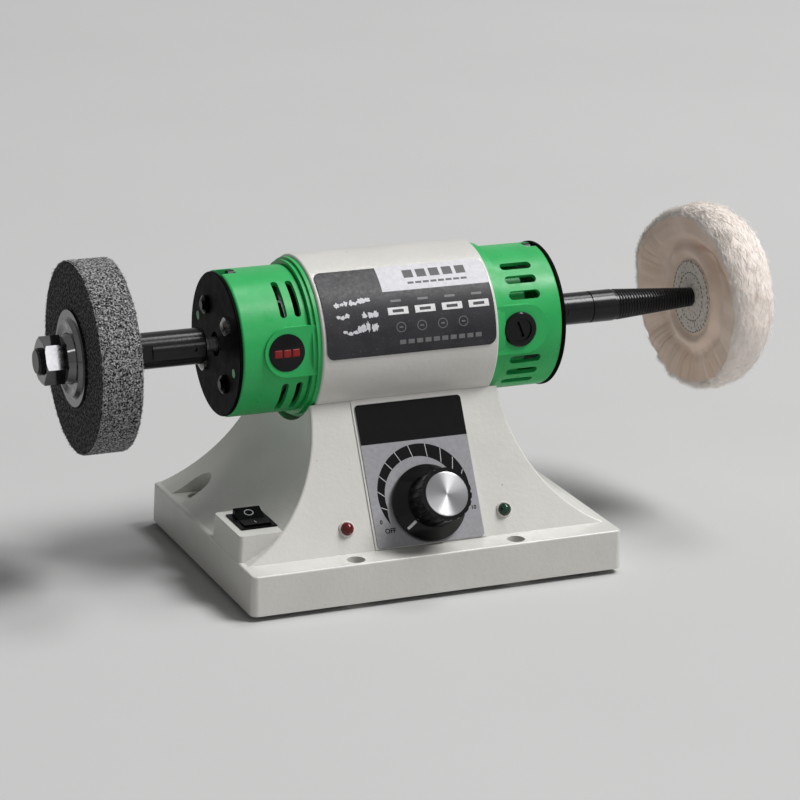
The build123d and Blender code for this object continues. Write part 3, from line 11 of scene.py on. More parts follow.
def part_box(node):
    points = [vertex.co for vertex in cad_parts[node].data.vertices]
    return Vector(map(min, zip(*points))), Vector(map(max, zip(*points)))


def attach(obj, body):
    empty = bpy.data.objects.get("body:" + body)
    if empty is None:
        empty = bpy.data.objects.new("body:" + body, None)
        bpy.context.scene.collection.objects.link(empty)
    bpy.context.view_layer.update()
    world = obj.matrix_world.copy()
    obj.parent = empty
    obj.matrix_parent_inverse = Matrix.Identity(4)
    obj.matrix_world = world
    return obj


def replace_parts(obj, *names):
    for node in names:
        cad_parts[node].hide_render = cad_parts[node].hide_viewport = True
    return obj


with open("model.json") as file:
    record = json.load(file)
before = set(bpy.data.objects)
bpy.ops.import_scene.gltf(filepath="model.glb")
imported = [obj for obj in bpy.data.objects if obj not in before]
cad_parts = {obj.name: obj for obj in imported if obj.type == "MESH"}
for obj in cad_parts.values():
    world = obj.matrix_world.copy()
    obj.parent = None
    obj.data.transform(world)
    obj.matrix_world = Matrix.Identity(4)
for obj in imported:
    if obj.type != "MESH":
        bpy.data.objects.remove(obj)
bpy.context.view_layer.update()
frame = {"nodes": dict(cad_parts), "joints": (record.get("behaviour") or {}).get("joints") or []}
NODES = frame["nodes"]
JOINTS = {joint["name"]: joint for joint in frame["joints"]}

# Sizes are in metres; MM turns a millimetre into metres.
MM = 0.001
INK = 0.05 * MM
RAY_START = 50
X_AXIS = Vector((1, 0, 0))

# The shaft, the sloping panel and the rocker, read from the joints
SHAFT = Vector(JOINTS["rotor_spin"]["pos_m"])
PANEL_AT = Vector(JOINTS["speed_turn"]["pos_m"])
PANEL_OUT = Vector(JOINTS["speed_turn"]["axis"]).normalized()
PANEL_UP = PANEL_OUT.cross(X_AXIS)
PANEL_AXES = Matrix((X_AXIS, PANEL_UP, PANEL_OUT)).transposed().to_4x4()
ROCKER_AT = Vector(JOINTS["switch_rock"]["pos_m"])

# Camera that took the photograph
CAMERA_AT = Vector((-0.6108, -1.4414, 0.5766))
CAMERA_RIGHT = Vector((0.920898, -0.389364, 0.018496))
CAMERA_UP = Vector((0.100719, 0.283516, 0.953664))
CAMERA_LENS = 139.07
SENSOR = 36.0


# Places on the object

def round_shaft(x, angle, radius):
    """Point about the shaft; the angle in degrees runs from the top towards the front."""
    turn = radians(angle)
    return Vector((x, SHAFT.y - radius * sin(turn), SHAFT.z + radius * cos(turn)))


def on_panel(right, up, lift):
    """Point on the sloping panel, measured from the knob's axis."""
    return PANEL_AT + X_AXIS * right + PANEL_UP * up + PANEL_OUT * lift


def reach(node, direction, origin):
    """How far a node reaches along a direction from a point."""
    return max((v.co - origin).dot(direction) for v in NODES[node].data.vertices)


def shaft_reach(node):
    """Largest distance of a node's points from the shaft."""
    return max(hypot(v.co.y - SHAFT.y, v.co.z - SHAFT.z) for v in NODES[node].data.vertices)


# Meshes

def placed(name, data):
    """A new object in the scene."""
    thing = bpy.data.objects.new(name, data)
    bpy.context.scene.collection.objects.link(thing)
    return thing


def new_mesh(name, points, faces, *materials, smooth=True):
    mesh = bpy.data.meshes.new(name)
    mesh.from_pydata([tuple(p) for p in points], [], faces)
    mesh.polygons.foreach_set("use_smooth", [smooth] * len(mesh.polygons))
    for material in materials:
        mesh.materials.append(material)
    return mesh


def piece(name, points, faces, material, body, slot, stands_for=(), smooth=True, second=None, parts=None):
    """A new mesh that rides on a body; parts marks the faces that take the second material."""
    mesh = new_mesh(name, points, faces, material, smooth=smooth)
    if second:
        mesh.materials.append(second)
        mesh.polygons.foreach_set("material_index", parts)
    mesh.update()
    thing = placed(name, mesh)
    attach(thing, body)
    if stands_for:
        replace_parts(thing, *stands_for)


def print_on(slot, name, shapes, ink):
    """A flat print on one of the base's plates."""
    piece(name, *joined(shapes), ink, "base", slot, smooth=False)


def grid_faces(rows, columns, wrap_rows=False, wrap_columns=False, start=0):
    """Quads over a grid of points stored row by row."""
    faces = []
    for i in range(rows if wrap_rows else rows - 1):
        for j in range(columns if wrap_columns else columns - 1):
            a, b = i * columns, (i + 1) % rows * columns
            k = (j + 1) % columns
            faces.append((start + a + j, start + b + j, start + b + k, start + a + k))
    return faces


def sheet_shape(place, across, along, wrap=False, thickness=INK):
    """Closed thin sheet over a surface: place(u, v, lift) gives its points for u and v from 0 to 1."""
    rows = across if wrap else across + 1
    columns = along + 1
    points = [place(i / across, j / along, lift) for lift in (thickness, 0)
              for i in range(rows) for j in range(columns)]
    count = rows * columns
    faces = grid_faces(rows, columns, wrap)
    faces += [tuple(reversed(f)) for f in grid_faces(rows, columns, wrap, start=count)]
    edges = [[i * columns for i in range(rows)], [i * columns + along for i in range(rows)]]
    if not wrap:
        edges += [list(range(columns)), [across * columns + j for j in range(columns)]]
    for number, edge in enumerate(edges):
        closed = wrap and number < 2
        for a, b in zip(edge, edge[1:] + edge[:1] if closed else edge[1:]):
            side = (a, b, b + count, a + count)
            faces.append(side if number in (1, 2) else tuple(reversed(side)))
    return points, faces


def skin(node):
    """A node's surface, for laying thin pieces on it."""
    mesh = NODES[node].data
    corners = [v.co for v in mesh.vertices]
    return BVHTree.FromPolygons(corners, [tuple(p.vertices) for p in mesh.polygons])


def laid(surface, point, out, lift):
    """The point brought back onto a surface along a direction, and lifted off it."""
    return surface.ray_cast(point + out * RAY_START * MM, -out)[0] + out * lift


def plate_shape(corners, place, thickness=INK):
    """Closed flat sheet with any outline: place(right, up, lift) puts its corners."""
    count = len(corners)
    points = [place(*corner, lift) for lift in (thickness, 0) for corner in corners]
    faces = [tuple(range(count)), tuple(reversed(range(count, 2 * count)))]
    faces += [(i, i + count, (i + 1) % count + count, (i + 1) % count) for i in range(count)]
    return points, faces


def joined(shapes):
    """Several (points, faces) shapes as one."""
    points, faces = [], []
    for more_points, more_faces in shapes:
        start = len(points)
        points += list(more_points)
        faces += [tuple(start + i for i in face) for face in more_faces]
    return points, faces


def shell(profile, segments, place):
    """Closed ring-shaped surface: each profile point goes round, and place(turn, point) puts it."""
    points = [place(2 * pi * j / segments, p) for p in profile for j in range(segments)]
    return points, grid_faces(len(profile), segments, True, True)


# Base, two rings and tip of one strand
STRAND_FACES = ((2, 1, 0), (0, 1, 4, 3), (1, 2, 5, 4), (2, 0, 3, 5), (3, 4, 6), (4, 5, 6), (5, 3, 6))
TINY = 1e-9


def strand_shape(roots, ways, lengths, radii, bends):
    """Tapered three-sided strands, each closed, with a bend in the middle."""
    roots, ways, bends = (np.asarray(a, float) for a in (roots, ways, bends))
    lengths, radii = (np.asarray(a, float)[:, None] for a in (lengths, radii))
    ways = ways / np.linalg.norm(ways, axis=1)[:, None]
    side = np.cross(ways, bends + TINY)
    side /= np.linalg.norm(side, axis=1)[:, None] + TINY * MM
    up = np.cross(side, ways)
    rings = []
    for share, taper in ((0.0, 1.0), (0.55, 0.85)):
        centre = roots + ways * lengths * share + bends * lengths * share ** 2
        for corner in range(3):
            turn = 2 * pi * corner / 3
            rings.append(centre + (side * cos(turn) + up * sin(turn)) * radii * taper)
    rings.append(roots + ways * lengths + bends * lengths)
    points = np.stack(rings, axis=1).reshape(-1, 3)
    faces = [tuple(7 * i + k for k in face) for i in range(len(roots)) for face in STRAND_FACES]
    return points, faces


def ripple(spot, *waves):
    """Unevenness at a point: each wave is a height and a fineness."""
    return sum(height * noise.noise(spot * fineness) for height, fineness in waves)


def spread(start, stop, step):
    """Points from start towards stop, about one step apart; stop itself is left to the next run."""
    start, stop = np.asarray(start, float), np.asarray(stop, float)
    count = max(1, round(np.linalg.norm(stop - start) / step))
    return [tuple(start + (stop - start) * k / count) for k in range(count)]


# Materials

def add_node(tree, kind, inputs=None, **settings):
    """A new shader node; an input is either another node's socket or a value."""
    node = tree.nodes.new("ShaderNode" + kind)
    for key, value in settings.items():
        setattr(node, key, value)
    for key, value in (inputs or {}).items():
        if isinstance(value, bpy.types.NodeSocket):
            tree.links.new(value, node.inputs[key])
        else:
            node.inputs[key].default_value = value
    return node


class Shade:
    """One Principled shader and the procedural nodes that feed it."""

    def __init__(self, name, color, roughness, gloss=0.5, **sockets):
        self.mat = bpy.data.materials.new(name)
        self.mat.use_nodes = True
        self.tree = self.mat.node_tree
        self.shader = self.tree.nodes["Principled BSDF"]
        sockets.update(Base_Color=(*color, 1), Roughness=roughness, Specular_IOR_Level=gloss)
        for socket, value in sockets.items():
            self.shader.inputs[socket.replace("_", " ")].default_value = value
        self.base = color
        self.place = self.add("TexCoord").outputs["Object"]
        self.normal = None

    def add(self, kind, inputs=None, **settings):
        return add_node(self.tree, kind, inputs, **settings)

    def noise(self, scale, detail=2.0):
        return self.add("TexNoise", {"Vector": self.place, "Scale": scale, "Detail": detail}).outputs["Fac"]

    def streaks(self, x, y, z, detail):
        """Noise with its own fineness along each axis."""
        place = self.add("Mapping", {"Vector": self.place, "Scale": (x, y, z)}).outputs["Vector"]
        return self.add("TexNoise", {"Vector": place, "Scale": 1.0, "Detail": detail}).outputs["Fac"]

    def span(self, value, low, high, to_low=0.0, to_high=1.0):
        inputs = {"Value": value, "From Min": low, "From Max": high, "To Min": to_low, "To Max": to_high}
        return self.add("MapRange", inputs).outputs["Result"]

    def mixed(self, share, first, second):
        first, second = (c if isinstance(c, bpy.types.NodeSocket) else (*c, 1) for c in (first, second))
        return self.add("Mix", {0: share, 6: first, 7: second}, data_type="RGBA").outputs[2]

    def feed(self, socket, value):
        self.tree.links.new(value, self.shader.inputs[socket])
        return self

    def colored(self, color):
        return self.feed("Base Color", color)

    def roughened(self, value, low, high):
        return self.feed("Roughness", self.span(value, 0.3, 0.7, low, high))

    def bumped(self, height, depth):
        """Adds relief of this depth in millimetres."""
        inputs = {"Height": height, "Distance": depth * MM, "Strength": 1.0}
        if self.normal:
            inputs["Normal"] = self.normal
        self.normal = self.add("Bump", inputs).outputs["Normal"]
        return self.feed("Normal", self.normal)

    def grained(self, scale, depth, detail=2.0):
        """Adds fine uneven relief."""
        return self.bumped(self.noise(scale, detail), depth)

    def worn(self, scale, low, high, detail=2.0):
        """Lets the roughness drift between two values."""
        return self.roughened(self.noise(scale, detail), low, high)

    def mottled(self, other, scale, detail=3.0, low=0.35, high=0.65):
        """Drifts from the base colour to another one."""
        share = self.span(self.noise(scale, detail), low, high)
        self.drift = self.mixed(share, self.base, other)
        return self.colored(self.drift)

    def specked(self, color, scale, low, high):
        """Scatters small specks of a colour over the drifting base."""
        share = self.span(self.noise(scale, 0.0), low, high)
        return self.colored(self.mixed(share, self.drift, color))


def enamel():
    shade = Shade("white_enamel", (0.64, 0.63, 0.595), 0.34, Coat_Weight=0.25, Coat_Roughness=0.15)
    shade.mottled((0.605, 0.594, 0.558), 35.0).specked((0.30, 0.28, 0.24), 520.0, 0.87, 0.91)
    return shade.worn(90.0, 0.28, 0.42).grained(380.0, 0.16, 3.0).grained(1300.0, 0.05).mat


def green_shell():
    shade = Shade("green_moulding", (0.026, 0.385, 0.098), 0.34, gloss=0.25)
    shade.mottled((0.034, 0.43, 0.118), 60.0)
    return shade.worn(140.0, 0.25, 0.42, 4.0).grained(300.0, 0.05).grained(1900.0, 0.02).mat


def black_enamel():
    shade = Shade("black_enamel", (0.003, 0.003, 0.0034), 0.42, gloss=0.012)
    shade.mottled((0.005, 0.005, 0.0054), 80.0).specked((0.02, 0.02, 0.021), 900.0, 0.80, 0.86)
    return shade.worn(160.0, 0.30, 0.46).grained(800.0, 0.03).mat


def turned_steel():
    """Steel turned on a lathe: fine lines run round the shaft."""
    shade = Shade("turned_steel", (0.50, 0.50, 0.51), 0.22, Metallic=1.0).mottled((0.42, 0.42, 0.43), 220.0)
    lines = shade.streaks(4200.0, 30.0, 30.0, 3.0)
    return shade.roughened(lines, 0.22, 0.36).bumped(lines, 0.02).mat


def black_steel():
    """Oil-blacked steel: nearly black, with sharp highlights along the shaft."""
    shade = Shade("blackened_steel", (0.004, 0.004, 0.0043), 0.2, gloss=0.28)
    shade.mottled((0.007, 0.007, 0.0075), 220.0).specked((0.03, 0.03, 0.031), 1100.0, 0.82, 0.88)
    lines = shade.streaks(3000.0, 30.0, 30.0, 3.0)
    return shade.roughened(lines, 0.14, 0.26).bumped(lines, 0.004).mat


# Chrome with its base colour cut far below real chrome's: painted dark reflections, so that the pale studio
# reflects in it as dark surroundings would.
def painted_dark_chrome():
    shade = Shade("chrome_with_painted_dark_reflections", (0.15, 0.15, 0.155), 0.08, Metallic=1.0)
    shade.mottled((0.12, 0.12, 0.125), 120.0)
    return shade.worn(500.0, 0.05, 0.13, 4.0).grained(260.0, 0.002, 1.0).mat


def plated(name, color):
    shade = Shade(name, color, 0.3, Metallic=1.0).mottled(tuple(0.8 * c for c in color), 400.0)
    return shade.worn(900.0, 0.2, 0.38, 4.0).grained(1500.0, 0.01).mat


def cover_screw_plate():
    """Zinc plate; the screws on one diagonal of each cover are blackened."""
    shade = Shade("cover_screw_plate", (0.42, 0.42, 0.41), 0.3, Metallic=1.0)
    shade.mottled((0.32, 0.32, 0.31), 400.0)
    offset = shade.add("VectorMath", {0: shade.place, 1: SHAFT}, operation="SUBTRACT").outputs[0]
    spot = shade.add("SeparateXYZ", {"Vector": offset}).outputs
    diagonal = shade.add("Math", {0: spot["Y"], 1: spot["Z"]}, operation="MULTIPLY").outputs[0]
    blackened = shade.span(diagonal, 0.0, MM * MM)
    shade.colored(shade.mixed(blackened, shade.drift, (0.008, 0.008, 0.008)))
    return shade.worn(900.0, 0.2, 0.38, 4.0).grained(1500.0, 0.01).mat


def spun_aluminium():
    """Turned cap: rings about the piece's own axis, which stretch its highlights into wedges."""
    shade = Shade("spun_aluminium", (0.80, 0.80, 0.80), 0.30, Metallic=1.0, Anisotropic=0.9,
                  Anisotropic_Rotation=0.25)
    rings = shade.add("TexWave", {"Vector": shade.place, "Scale": 700.0, "Distortion": 1.5, "Detail": 3.0},
                      wave_type="RINGS", rings_direction="Z").outputs["Fac"]
    shade.colored(shade.mixed(rings, (0.44, 0.44, 0.45), (0.28, 0.28, 0.29)))
    tangent = shade.add("Tangent", direction_type="RADIAL", axis="Z").outputs["Tangent"]
    return shade.feed("Tangent", tangent).bumped(rings, 0.006).mat


def laminated_steel():
    shade = Shade("steel_laminations", (0.16, 0.16, 0.17), 0.45, Metallic=1.0)
    shade.mottled((0.24, 0.21, 0.18), 150.0)
    return shade.bumped(shade.streaks(1700.0, 2.0, 2.0, 0.0), 0.2).mat


def wound_copper():
    shade = Shade("enamelled_copper", (0.42, 0.15, 0.055), 0.32, Metallic=1.0)
    shade.mottled((0.52, 0.22, 0.08), 300.0)
    return shade.bumped(shade.streaks(120.0, 1400.0, 1400.0, 1.0), 0.3).mat


def gloss_black():
    shade = Shade("gloss_black_moulding", (0.002, 0.002, 0.0025), 0.12, gloss=0.22)
    shade.mottled((0.004, 0.004, 0.0045), 200.0).specked((0.02,) * 3, 1300.0, 0.84, 0.88)
    return shade.worn(260.0, 0.10, 0.22, 3.0).grained(700.0, 0.01).mat


def satin_black():
    shade = Shade("satin_black_moulding", (0.003, 0.003, 0.0034), 0.3, gloss=0.05)
    shade.mottled((0.005, 0.005, 0.0056), 200.0).specked((0.018,) * 3, 1300.0, 0.84, 0.88)
    return shade.worn(260.0, 0.24, 0.38, 3.0).grained(700.0, 0.012).mat


def moulding(name, color, roughness=0.5):
    shade = Shade(name, color, roughness).mottled(tuple(0.82 * c for c in color), 180.0)
    return shade.worn(300.0, roughness - 0.08, roughness + 0.1).grained(1500.0, 0.02).mat


def printed(name, color, roughness=0.45, gloss=0.3):
    """Screen-printed ink: a faint grain and small gaps in the layer."""
    shade = Shade(name, color, roughness, gloss=gloss).mottled(tuple(0.88 * c for c in color), 420.0)
    shade.specked(tuple(0.7 * c + 0.004 for c in color), 1500.0, 0.76, 0.84)
    return shade.grained(2600.0, 0.006).mat


def dark_plate():
    shade = Shade("dark_plate", (0.022, 0.0215, 0.025), 0.40, gloss=0.25)
    shade.mottled((0.034, 0.032, 0.036), 90.0).specked((0.075, 0.073, 0.077), 1400.0, 0.72, 0.82)
    return shade.worn(500.0, 0.34, 0.48).bumped(shade.streaks(300.0, 2600.0, 2600.0, 2.0), 0.012).mat


def lens(name, color):
    shade = Shade(name, color, 0.06, gloss=0.4).mottled(tuple(1.6 * c for c in color), 500.0)
    return shade.grained(900.0, 0.003).mat


def clear_collar():
    shade = Shade("clear_collar", (0.62, 0.56, 0.53), 0.16, Coat_Weight=0.6, Coat_Roughness=0.05)
    shade.mottled((0.70, 0.65, 0.62), 600.0)
    return shade.grained(1200.0, 0.006).mat


def rubber():
    shade = Shade("black_rubber", (0.016, 0.016, 0.016), 0.72).mottled((0.028, 0.027, 0.026), 250.0)
    return shade.worn(350.0, 0.62, 0.82).grained(1700.0, 0.05).mat


def bonded_fibre(name, pore, grain_tone, fineness):
    """Body of the grey wheel: dark pores between bonded grains."""
    shade = Shade(name, (grain_tone,) * 3, 0.9, gloss=0.2)
    grains = shade.noise(fineness)
    share = shade.span(grains, 0.46, 0.62)
    shade.colored(shade.mixed(share, (pore,) * 3, (grain_tone, grain_tone, 1.02 * grain_tone)))
    return shade.bumped(grains, 0.6).mat


def grey_strands():
    shade = Shade("grey_fibre_strands", (0.54, 0.54, 0.545), 0.6, gloss=0.3)
    return shade.mottled((0.16, 0.16, 0.163), 700.0, low=0.4, high=0.6).mat


def cotton(name, color, other):
    """Stitched cloth: fine weave, soft sheen and slight yellowing."""
    shade = Shade(name, color, 0.92, 0.2, Sheen_Weight=0.3).mottled(other, 70.0, 4.0)
    threads = shade.streaks(600.0, 2400.0, 600.0, 2.0)
    weave = shade.streaks(600.0, 600.0, 2400.0, 1.0)
    return shade.bumped(threads, 0.08).bumped(weave, 0.08).grained(220.0, 0.25, 3.0).mat


def combed_cotton():
    """Frayed rim: silky fibres combed round the wheel."""
    shade = Shade("combed_cotton", (0.96, 0.88, 0.82), 0.85, 0.2, Sheen_Weight=0.6)
    shade.mottled((0.92, 0.82, 0.75), 110.0, 4.0)
    return shade.bumped(shade.streaks(1300.0, 130.0, 130.0, 3.0), 0.16).grained(200.0, 0.35, 3.0).mat


def cotton_fuzz():
    shade = Shade("cotton_fuzz", (0.97, 0.94, 0.91), 0.9, 0.2, Sheen_Weight=0.6)
    return shade.mottled((0.95, 0.89, 0.84), 260.0, 2.0).mat


def pressed_fibre():
    shade = Shade("pressed_fibre", (0.84, 0.785, 0.72), 0.8, gloss=0.2)
    shade.mottled((0.70, 0.645, 0.58), 420.0, 4.0).specked((0.26, 0.235, 0.20), 800.0, 0.69, 0.74)
    return shade.grained(650.0, 0.25, 4.0).mat


def coat(material, *names):
    """Gives CAD nodes a material."""
    for name in names:
        slots = NODES[name].data.materials
        slots.clear()
        slots.append(material)


ENAMEL = enamel()
BLACK_STEEL = black_steel()
BLACK_INK = printed("black_ink", (0.008, 0.008, 0.0088), 0.5, 0.05)
WHITE_INK = printed("white_ink", (0.80, 0.80, 0.80))
SILVER_INK = printed("silver_ink", (0.66, 0.655, 0.69))
PALE_INK = printed("pale_ink", (0.60, 0.60, 0.61))
GREY_INK = printed("grey_ink", (0.17, 0.17, 0.175))
DIM_INK = printed("dim_ink", (0.075, 0.073, 0.078))
RED_INK = printed("red_ink", (0.25, 0.010, 0.010))
LABEL_INK = printed("label_ink", (0.20, 0.198, 0.205))
ROCKER_INK = printed("rocker_ink", (0.30, 0.31, 0.33))

coat(ENAMEL, "base_housing", "motor_sleeve")
coat(green_shell(), "left_end_bell", "right_end_bell")
coat(black_enamel(), "left_cover", "right_cover")
coat(BLACK_STEEL, "left_spindle", "inner_flange", "right_spindle", "grub_screws", "tie_bolts")
coat(turned_steel(), "motor_shaft", "left_bearing_outer", "left_bearing_inner", "right_bearing_outer",
     "right_bearing_inner", "pot_shaft", "brush_springs")
coat(plated("zinc_plate", (0.46, 0.46, 0.45)), "bottom_plate", "foot_screws", "saddle_screws", "pot_nut")
coat(cover_screw_plate(), "cover_screws")
coat(painted_dark_chrome(), "outer_flange", "spindle_nut")
coat(plated("extruded_aluminium", (0.60, 0.60, 0.60)), "heat_sink")
coat(laminated_steel(), "stator_core", "armature_core")
coat(wound_copper(), "field_coils", "armature_winding", "commutator")
coat(gloss_black(), "speed_knob", "brush_holder_front", "brush_holder_back", "brush_cap_front",
     "brush_cap_back", "capacitor", "badge_disc")
coat(satin_black(), "switch_frame", "rocker")
coat(moulding("grey_moulding", (0.22, 0.22, 0.225)), "potentiometer", "board_pillars", "cooling_fan")
coat(moulding("board_green", (0.02, 0.11, 0.04)), "control_board")
coat(moulding("carbon", (0.02, 0.02, 0.021), 0.6), "brushes")
coat(printed("panel_film", (0.315, 0.315, 0.335), 0.42, 0.4), "dial_plate")
coat(dark_plate(), "nameplate")
coat(lens("red_lens", (0.085, 0.0015, 0.0015)), "lamp_red")
coat(lens("green_lens", (0.003, 0.026, 0.013)), "lamp_green")
coat(clear_collar(), "lamp_collars")
coat(rubber(), "foot_1", "foot_2", "foot_3", "foot_4", "cord_inlet")
coat(pressed_fibre(), "buff_disc_front", "buff_disc_back")


# Rear foot of the housing: the wall that closes it down to the bottom plate
HOUSING_LOW, HOUSING_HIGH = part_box("base_housing")
FOOT_WALL_HALF = 100.3 * MM
FOOT_WALL_RISE = 10.7 * MM
FOOT_WALL = 1.5 * MM
FOOT_WALL_PROUD = 0.02 * MM
REAR_DRAFT = 0.75 / 21.2


def foot_wall_place(right, up, lift):
    """Point of the rear foot wall, which keeps the draft of the housing's rear face."""
    return Vector((right, HOUSING_HIGH.y - REAR_DRAFT * up - FOOT_WALL + lift, HOUSING_LOW.z + up))


foot_corners = [(-FOOT_WALL_HALF, 0), (-FOOT_WALL_HALF, FOOT_WALL_RISE),
                (FOOT_WALL_HALF, FOOT_WALL_RISE), (FOOT_WALL_HALF, 0)]
foot_wall = plate_shape(foot_corners, foot_wall_place, FOOT_WALL + FOOT_WALL_PROUD)
piece("rear_foot_wall", *foot_wall, ENAMEL, "base", "white_enamel", smooth=False)


# Nameplate: blank blocks, bars and rings, in millimetres along the shaft and degrees round it
PLATE_R = shaft_reach("nameplate")


def plate_block(left, right, top, bottom, above=0.0):
    def place(u, v, lift):
        x = (left + (right - left) * u) * MM
        return round_shaft(x, top + (bottom - top) * v, PLATE_R + above + lift)
    return sheet_shape(place, across=4, along=6)


def plate_ring(x, angle, radius, width):
    def place(u, v, lift):
        turn = 2 * pi * u
        r = radius - width * v
        along = r * cos(turn)
        round_by = degrees(r * MM * sin(turn) / PLATE_R)
        return round_shaft((x + along) * MM, angle - round_by, PLATE_R + lift)
    return sheet_shape(place, across=32, along=1, wrap=True)


PLATE_LOW, PLATE_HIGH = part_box("nameplate")
PLATE_MID = (PLATE_LOW.x + PLATE_HIGH.x) / 2 / MM
PLATE_HALF = (PLATE_HIGH.x - PLATE_LOW.x) / 2 / MM
PLATE_TOP = min(degrees(atan2(SHAFT.y - v.co.y, v.co.z - SHAFT.z))
                for v in NODES["nameplate"].data.vertices)
PLATE_CORNER = 5.0
TITLE_LEFT = -13.0
TITLE_LOW = 48.4
TITLE_TOP = PLATE_TOP + 0.1
TITLE_MARGIN = 0.15


def title_block(u, v, lift):
    """Silver field in the plate's upper right corner, with that corner's round."""
    angle = TITLE_TOP + (TITLE_LOW - TITLE_TOP) * v
    down = radians(angle - PLATE_TOP) * PLATE_R / MM
    short = PLATE_CORNER - sqrt(max(0.0, PLATE_CORNER ** 2 - max(0.0, PLATE_CORNER - down) ** 2))
    right = PLATE_HALF - TITLE_MARGIN - short
    x = PLATE_MID + TITLE_LEFT + (right - TITLE_LEFT) * u
    return round_shaft(x * MM, angle, PLATE_R + lift)


def plate_row(start, step, width, count, top, bottom, lift=0.0):
    """Row of plain blocks, measured from the plate's middle."""
    left = PLATE_MID + start
    return [plate_block(left + step * i, left + step * i + width, top, bottom, lift) for i in range(count)]


BOX_LEFT = -12.3
BOX_STEP = 15.2
BOX_WIDTH = 11.4
RING_LEFT = -6.0
RING_STEP = 11.7
RING_ANGLE = 73.6
# Each row: start and step along the shaft, width of a block, how many, upper and lower angle, lift
boxes = plate_row(BOX_LEFT, BOX_STEP, BOX_WIDTH, 4, 59.9, 64.9)
box_marks = plate_row(BOX_LEFT + 2.6, BOX_STEP, BOX_WIDTH - 5.2, 4, 61.4, 63.4, INK)
ring_bars = plate_row(RING_LEFT - 1.0, RING_STEP, 2.0, 4, 73.1, 74.1)
labels = plate_row(BOX_LEFT + 2.4, BOX_STEP, BOX_WIDTH - 5.6, 4, 54.6, 56.2)
title_marks = plate_row(1.2, 7.4, 5.4, 5, 32.4, 39.0, INK)
title_marks += plate_row(2.2, 4.3, 3.4, 8, 42.4, 44.0, INK)
foot = plate_row(-7.2, 4.75, 3.4, 10, 82.2, 85.2)
rings = [plate_ring(PLATE_MID + RING_LEFT + RING_STEP * i, RING_ANGLE, radius=2.7, width=0.4)
         for i in range(4)]
print_on("dark_plate", "plate_title_block", [sheet_shape(title_block, across=48, along=16)], SILVER_INK)
print_on("dark_plate", "plate_title_marks", title_marks, DIM_INK)
print_on("dark_plate", "plate_boxes", boxes, WHITE_INK)
print_on("dark_plate", "plate_box_marks", box_marks, DIM_INK)
print_on("dark_plate", "plate_rings", rings + ring_bars + foot, GREY_INK)
print_on("dark_plate", "plate_labels", labels, LABEL_INK)
# Each row of worn patches: left and right end, upper and lower angle, how many
WORN_ROWS = ((-40.5, -28.0, 52.0, 56.6, 5), (-28.5, -20.5, 50.4, 56.0, 2), (-41.5, -33.5, 61.8, 65.6, 3),
             (-27.0, -17.5, 60.4, 66.4, 3), (-38.5, -30.0, 72.6, 76.6, 3), (-30.0, -18.0, 68.0, 76.2, 5))
PATCH_CORNERS = 18


def worn_patches(seed):
    """Ragged patches of bare metal where the ink has worn off."""
    draw = np.random.default_rng(seed)
    shapes = []
    for left, right, top, bottom, count in WORN_ROWS:
        for k in range(count):
            half_width = (right - left) / count * draw.uniform(0.42, 0.72)
            half_height = (bottom - top) / 2 * draw.uniform(0.65, 1.15)
            x = PLATE_MID + left + (right - left) * (k + 0.5) / count + draw.normal(0, 0.3)
            angle = (top + bottom) / 2 + draw.normal(0, 0.5)
            corners = []
            for i in range(PATCH_CORNERS):
                turn = 2 * pi * i / PATCH_CORNERS
                share = draw.uniform(0.55, 1.1)
                corners.append((x - half_width * share * cos(turn), angle - half_height * share * sin(turn)))
            shapes.append(plate_shape(corners, lambda a, b, lift: round_shaft(a * MM, b, PLATE_R + lift)))
    return shapes


print_on("dark_plate", "plate_wear", worn_patches(seed=21), SILVER_INK)


# Badge: three plain red blocks on the domed disc
BADGE_LOW, BADGE_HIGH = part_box("badge_disc")
BADGE_MID = (BADGE_LOW + BADGE_HIGH) / 2
BADGE_OUT = Vector((0, BADGE_MID.y - SHAFT.y, BADGE_MID.z - SHAFT.z)).normalized()
BADGE_UP = BADGE_OUT.cross(X_AXIS)
BADGE_SKIN = skin("badge_disc")
BADGE_STEP = 4.8


def badge_block(left, right, low, high):
    def place(u, v, lift):
        along = X_AXIS * (left + (right - left) * u) * MM
        up = BADGE_UP * (low + (high - low) * v) * MM
        return laid(BADGE_SKIN, BADGE_MID + along + up, BADGE_OUT, lift)
    return sheet_shape(place, across=6, along=6)


blocks = [badge_block(-6.9 + BADGE_STEP * i, -2.9 + BADGE_STEP * i, low=-2.3, high=1.7) for i in range(3)]
piece("badge_blocks", *joined(blocks), RED_INK, "base", "black_plastic")


# Dial: black block, crescent, dividing lines and plain figures, in millimetres from the knob's axis
PANEL_TOP = reach("dial_plate", PANEL_OUT, PANEL_AT)
BLOCK_LOW = 34.0
BLOCK_CORNER = 2.2
BLOCK_MARGIN = 0.1
CORNER_STEPS = 8
# Outer and inner circle of the crescent: middle to the right, middle upwards, radius
CRESCENT = ((-1.0, 6.0, 25.9), (-2.3, 4.5, 20.8))
CRESCENT_START = 201.0
CRESCENT_END = -14.0
CRESCENT_TAPER = 21.0
CRESCENT_POINT = 0.05
# Where each dividing line stands and which way it leans, in degrees
DIAL_TICKS = ((180.5, 156.0), (163.0, 140.5), (146.0, 135.0), (130.0, 130.5), (115.5, 118.6), (99.7, 105.7),
              (81.7, 93.0), (64.4, 85.0), (46.7, 80.0), (29.0, 66.0), (11.0, 48.0))
TICK_WIDTH = 0.34
TICK_LEAN_COS = 0.75
FIGURE_SIZE = 1.4
FIGURE_WEIGHT = 0.08 * MM


def panel_spot(right, up, lift):
    return on_panel(right * MM, up * MM, PANEL_TOP + lift)


def circle_edge(angle, circle):
    """Distance from the knob's axis to a circle of the dial in this direction."""
    x, up, radius = circle
    along = x * cos(angle) + up * sin(angle)
    return along + sqrt(along ** 2 - x ** 2 - up ** 2 + radius ** 2)


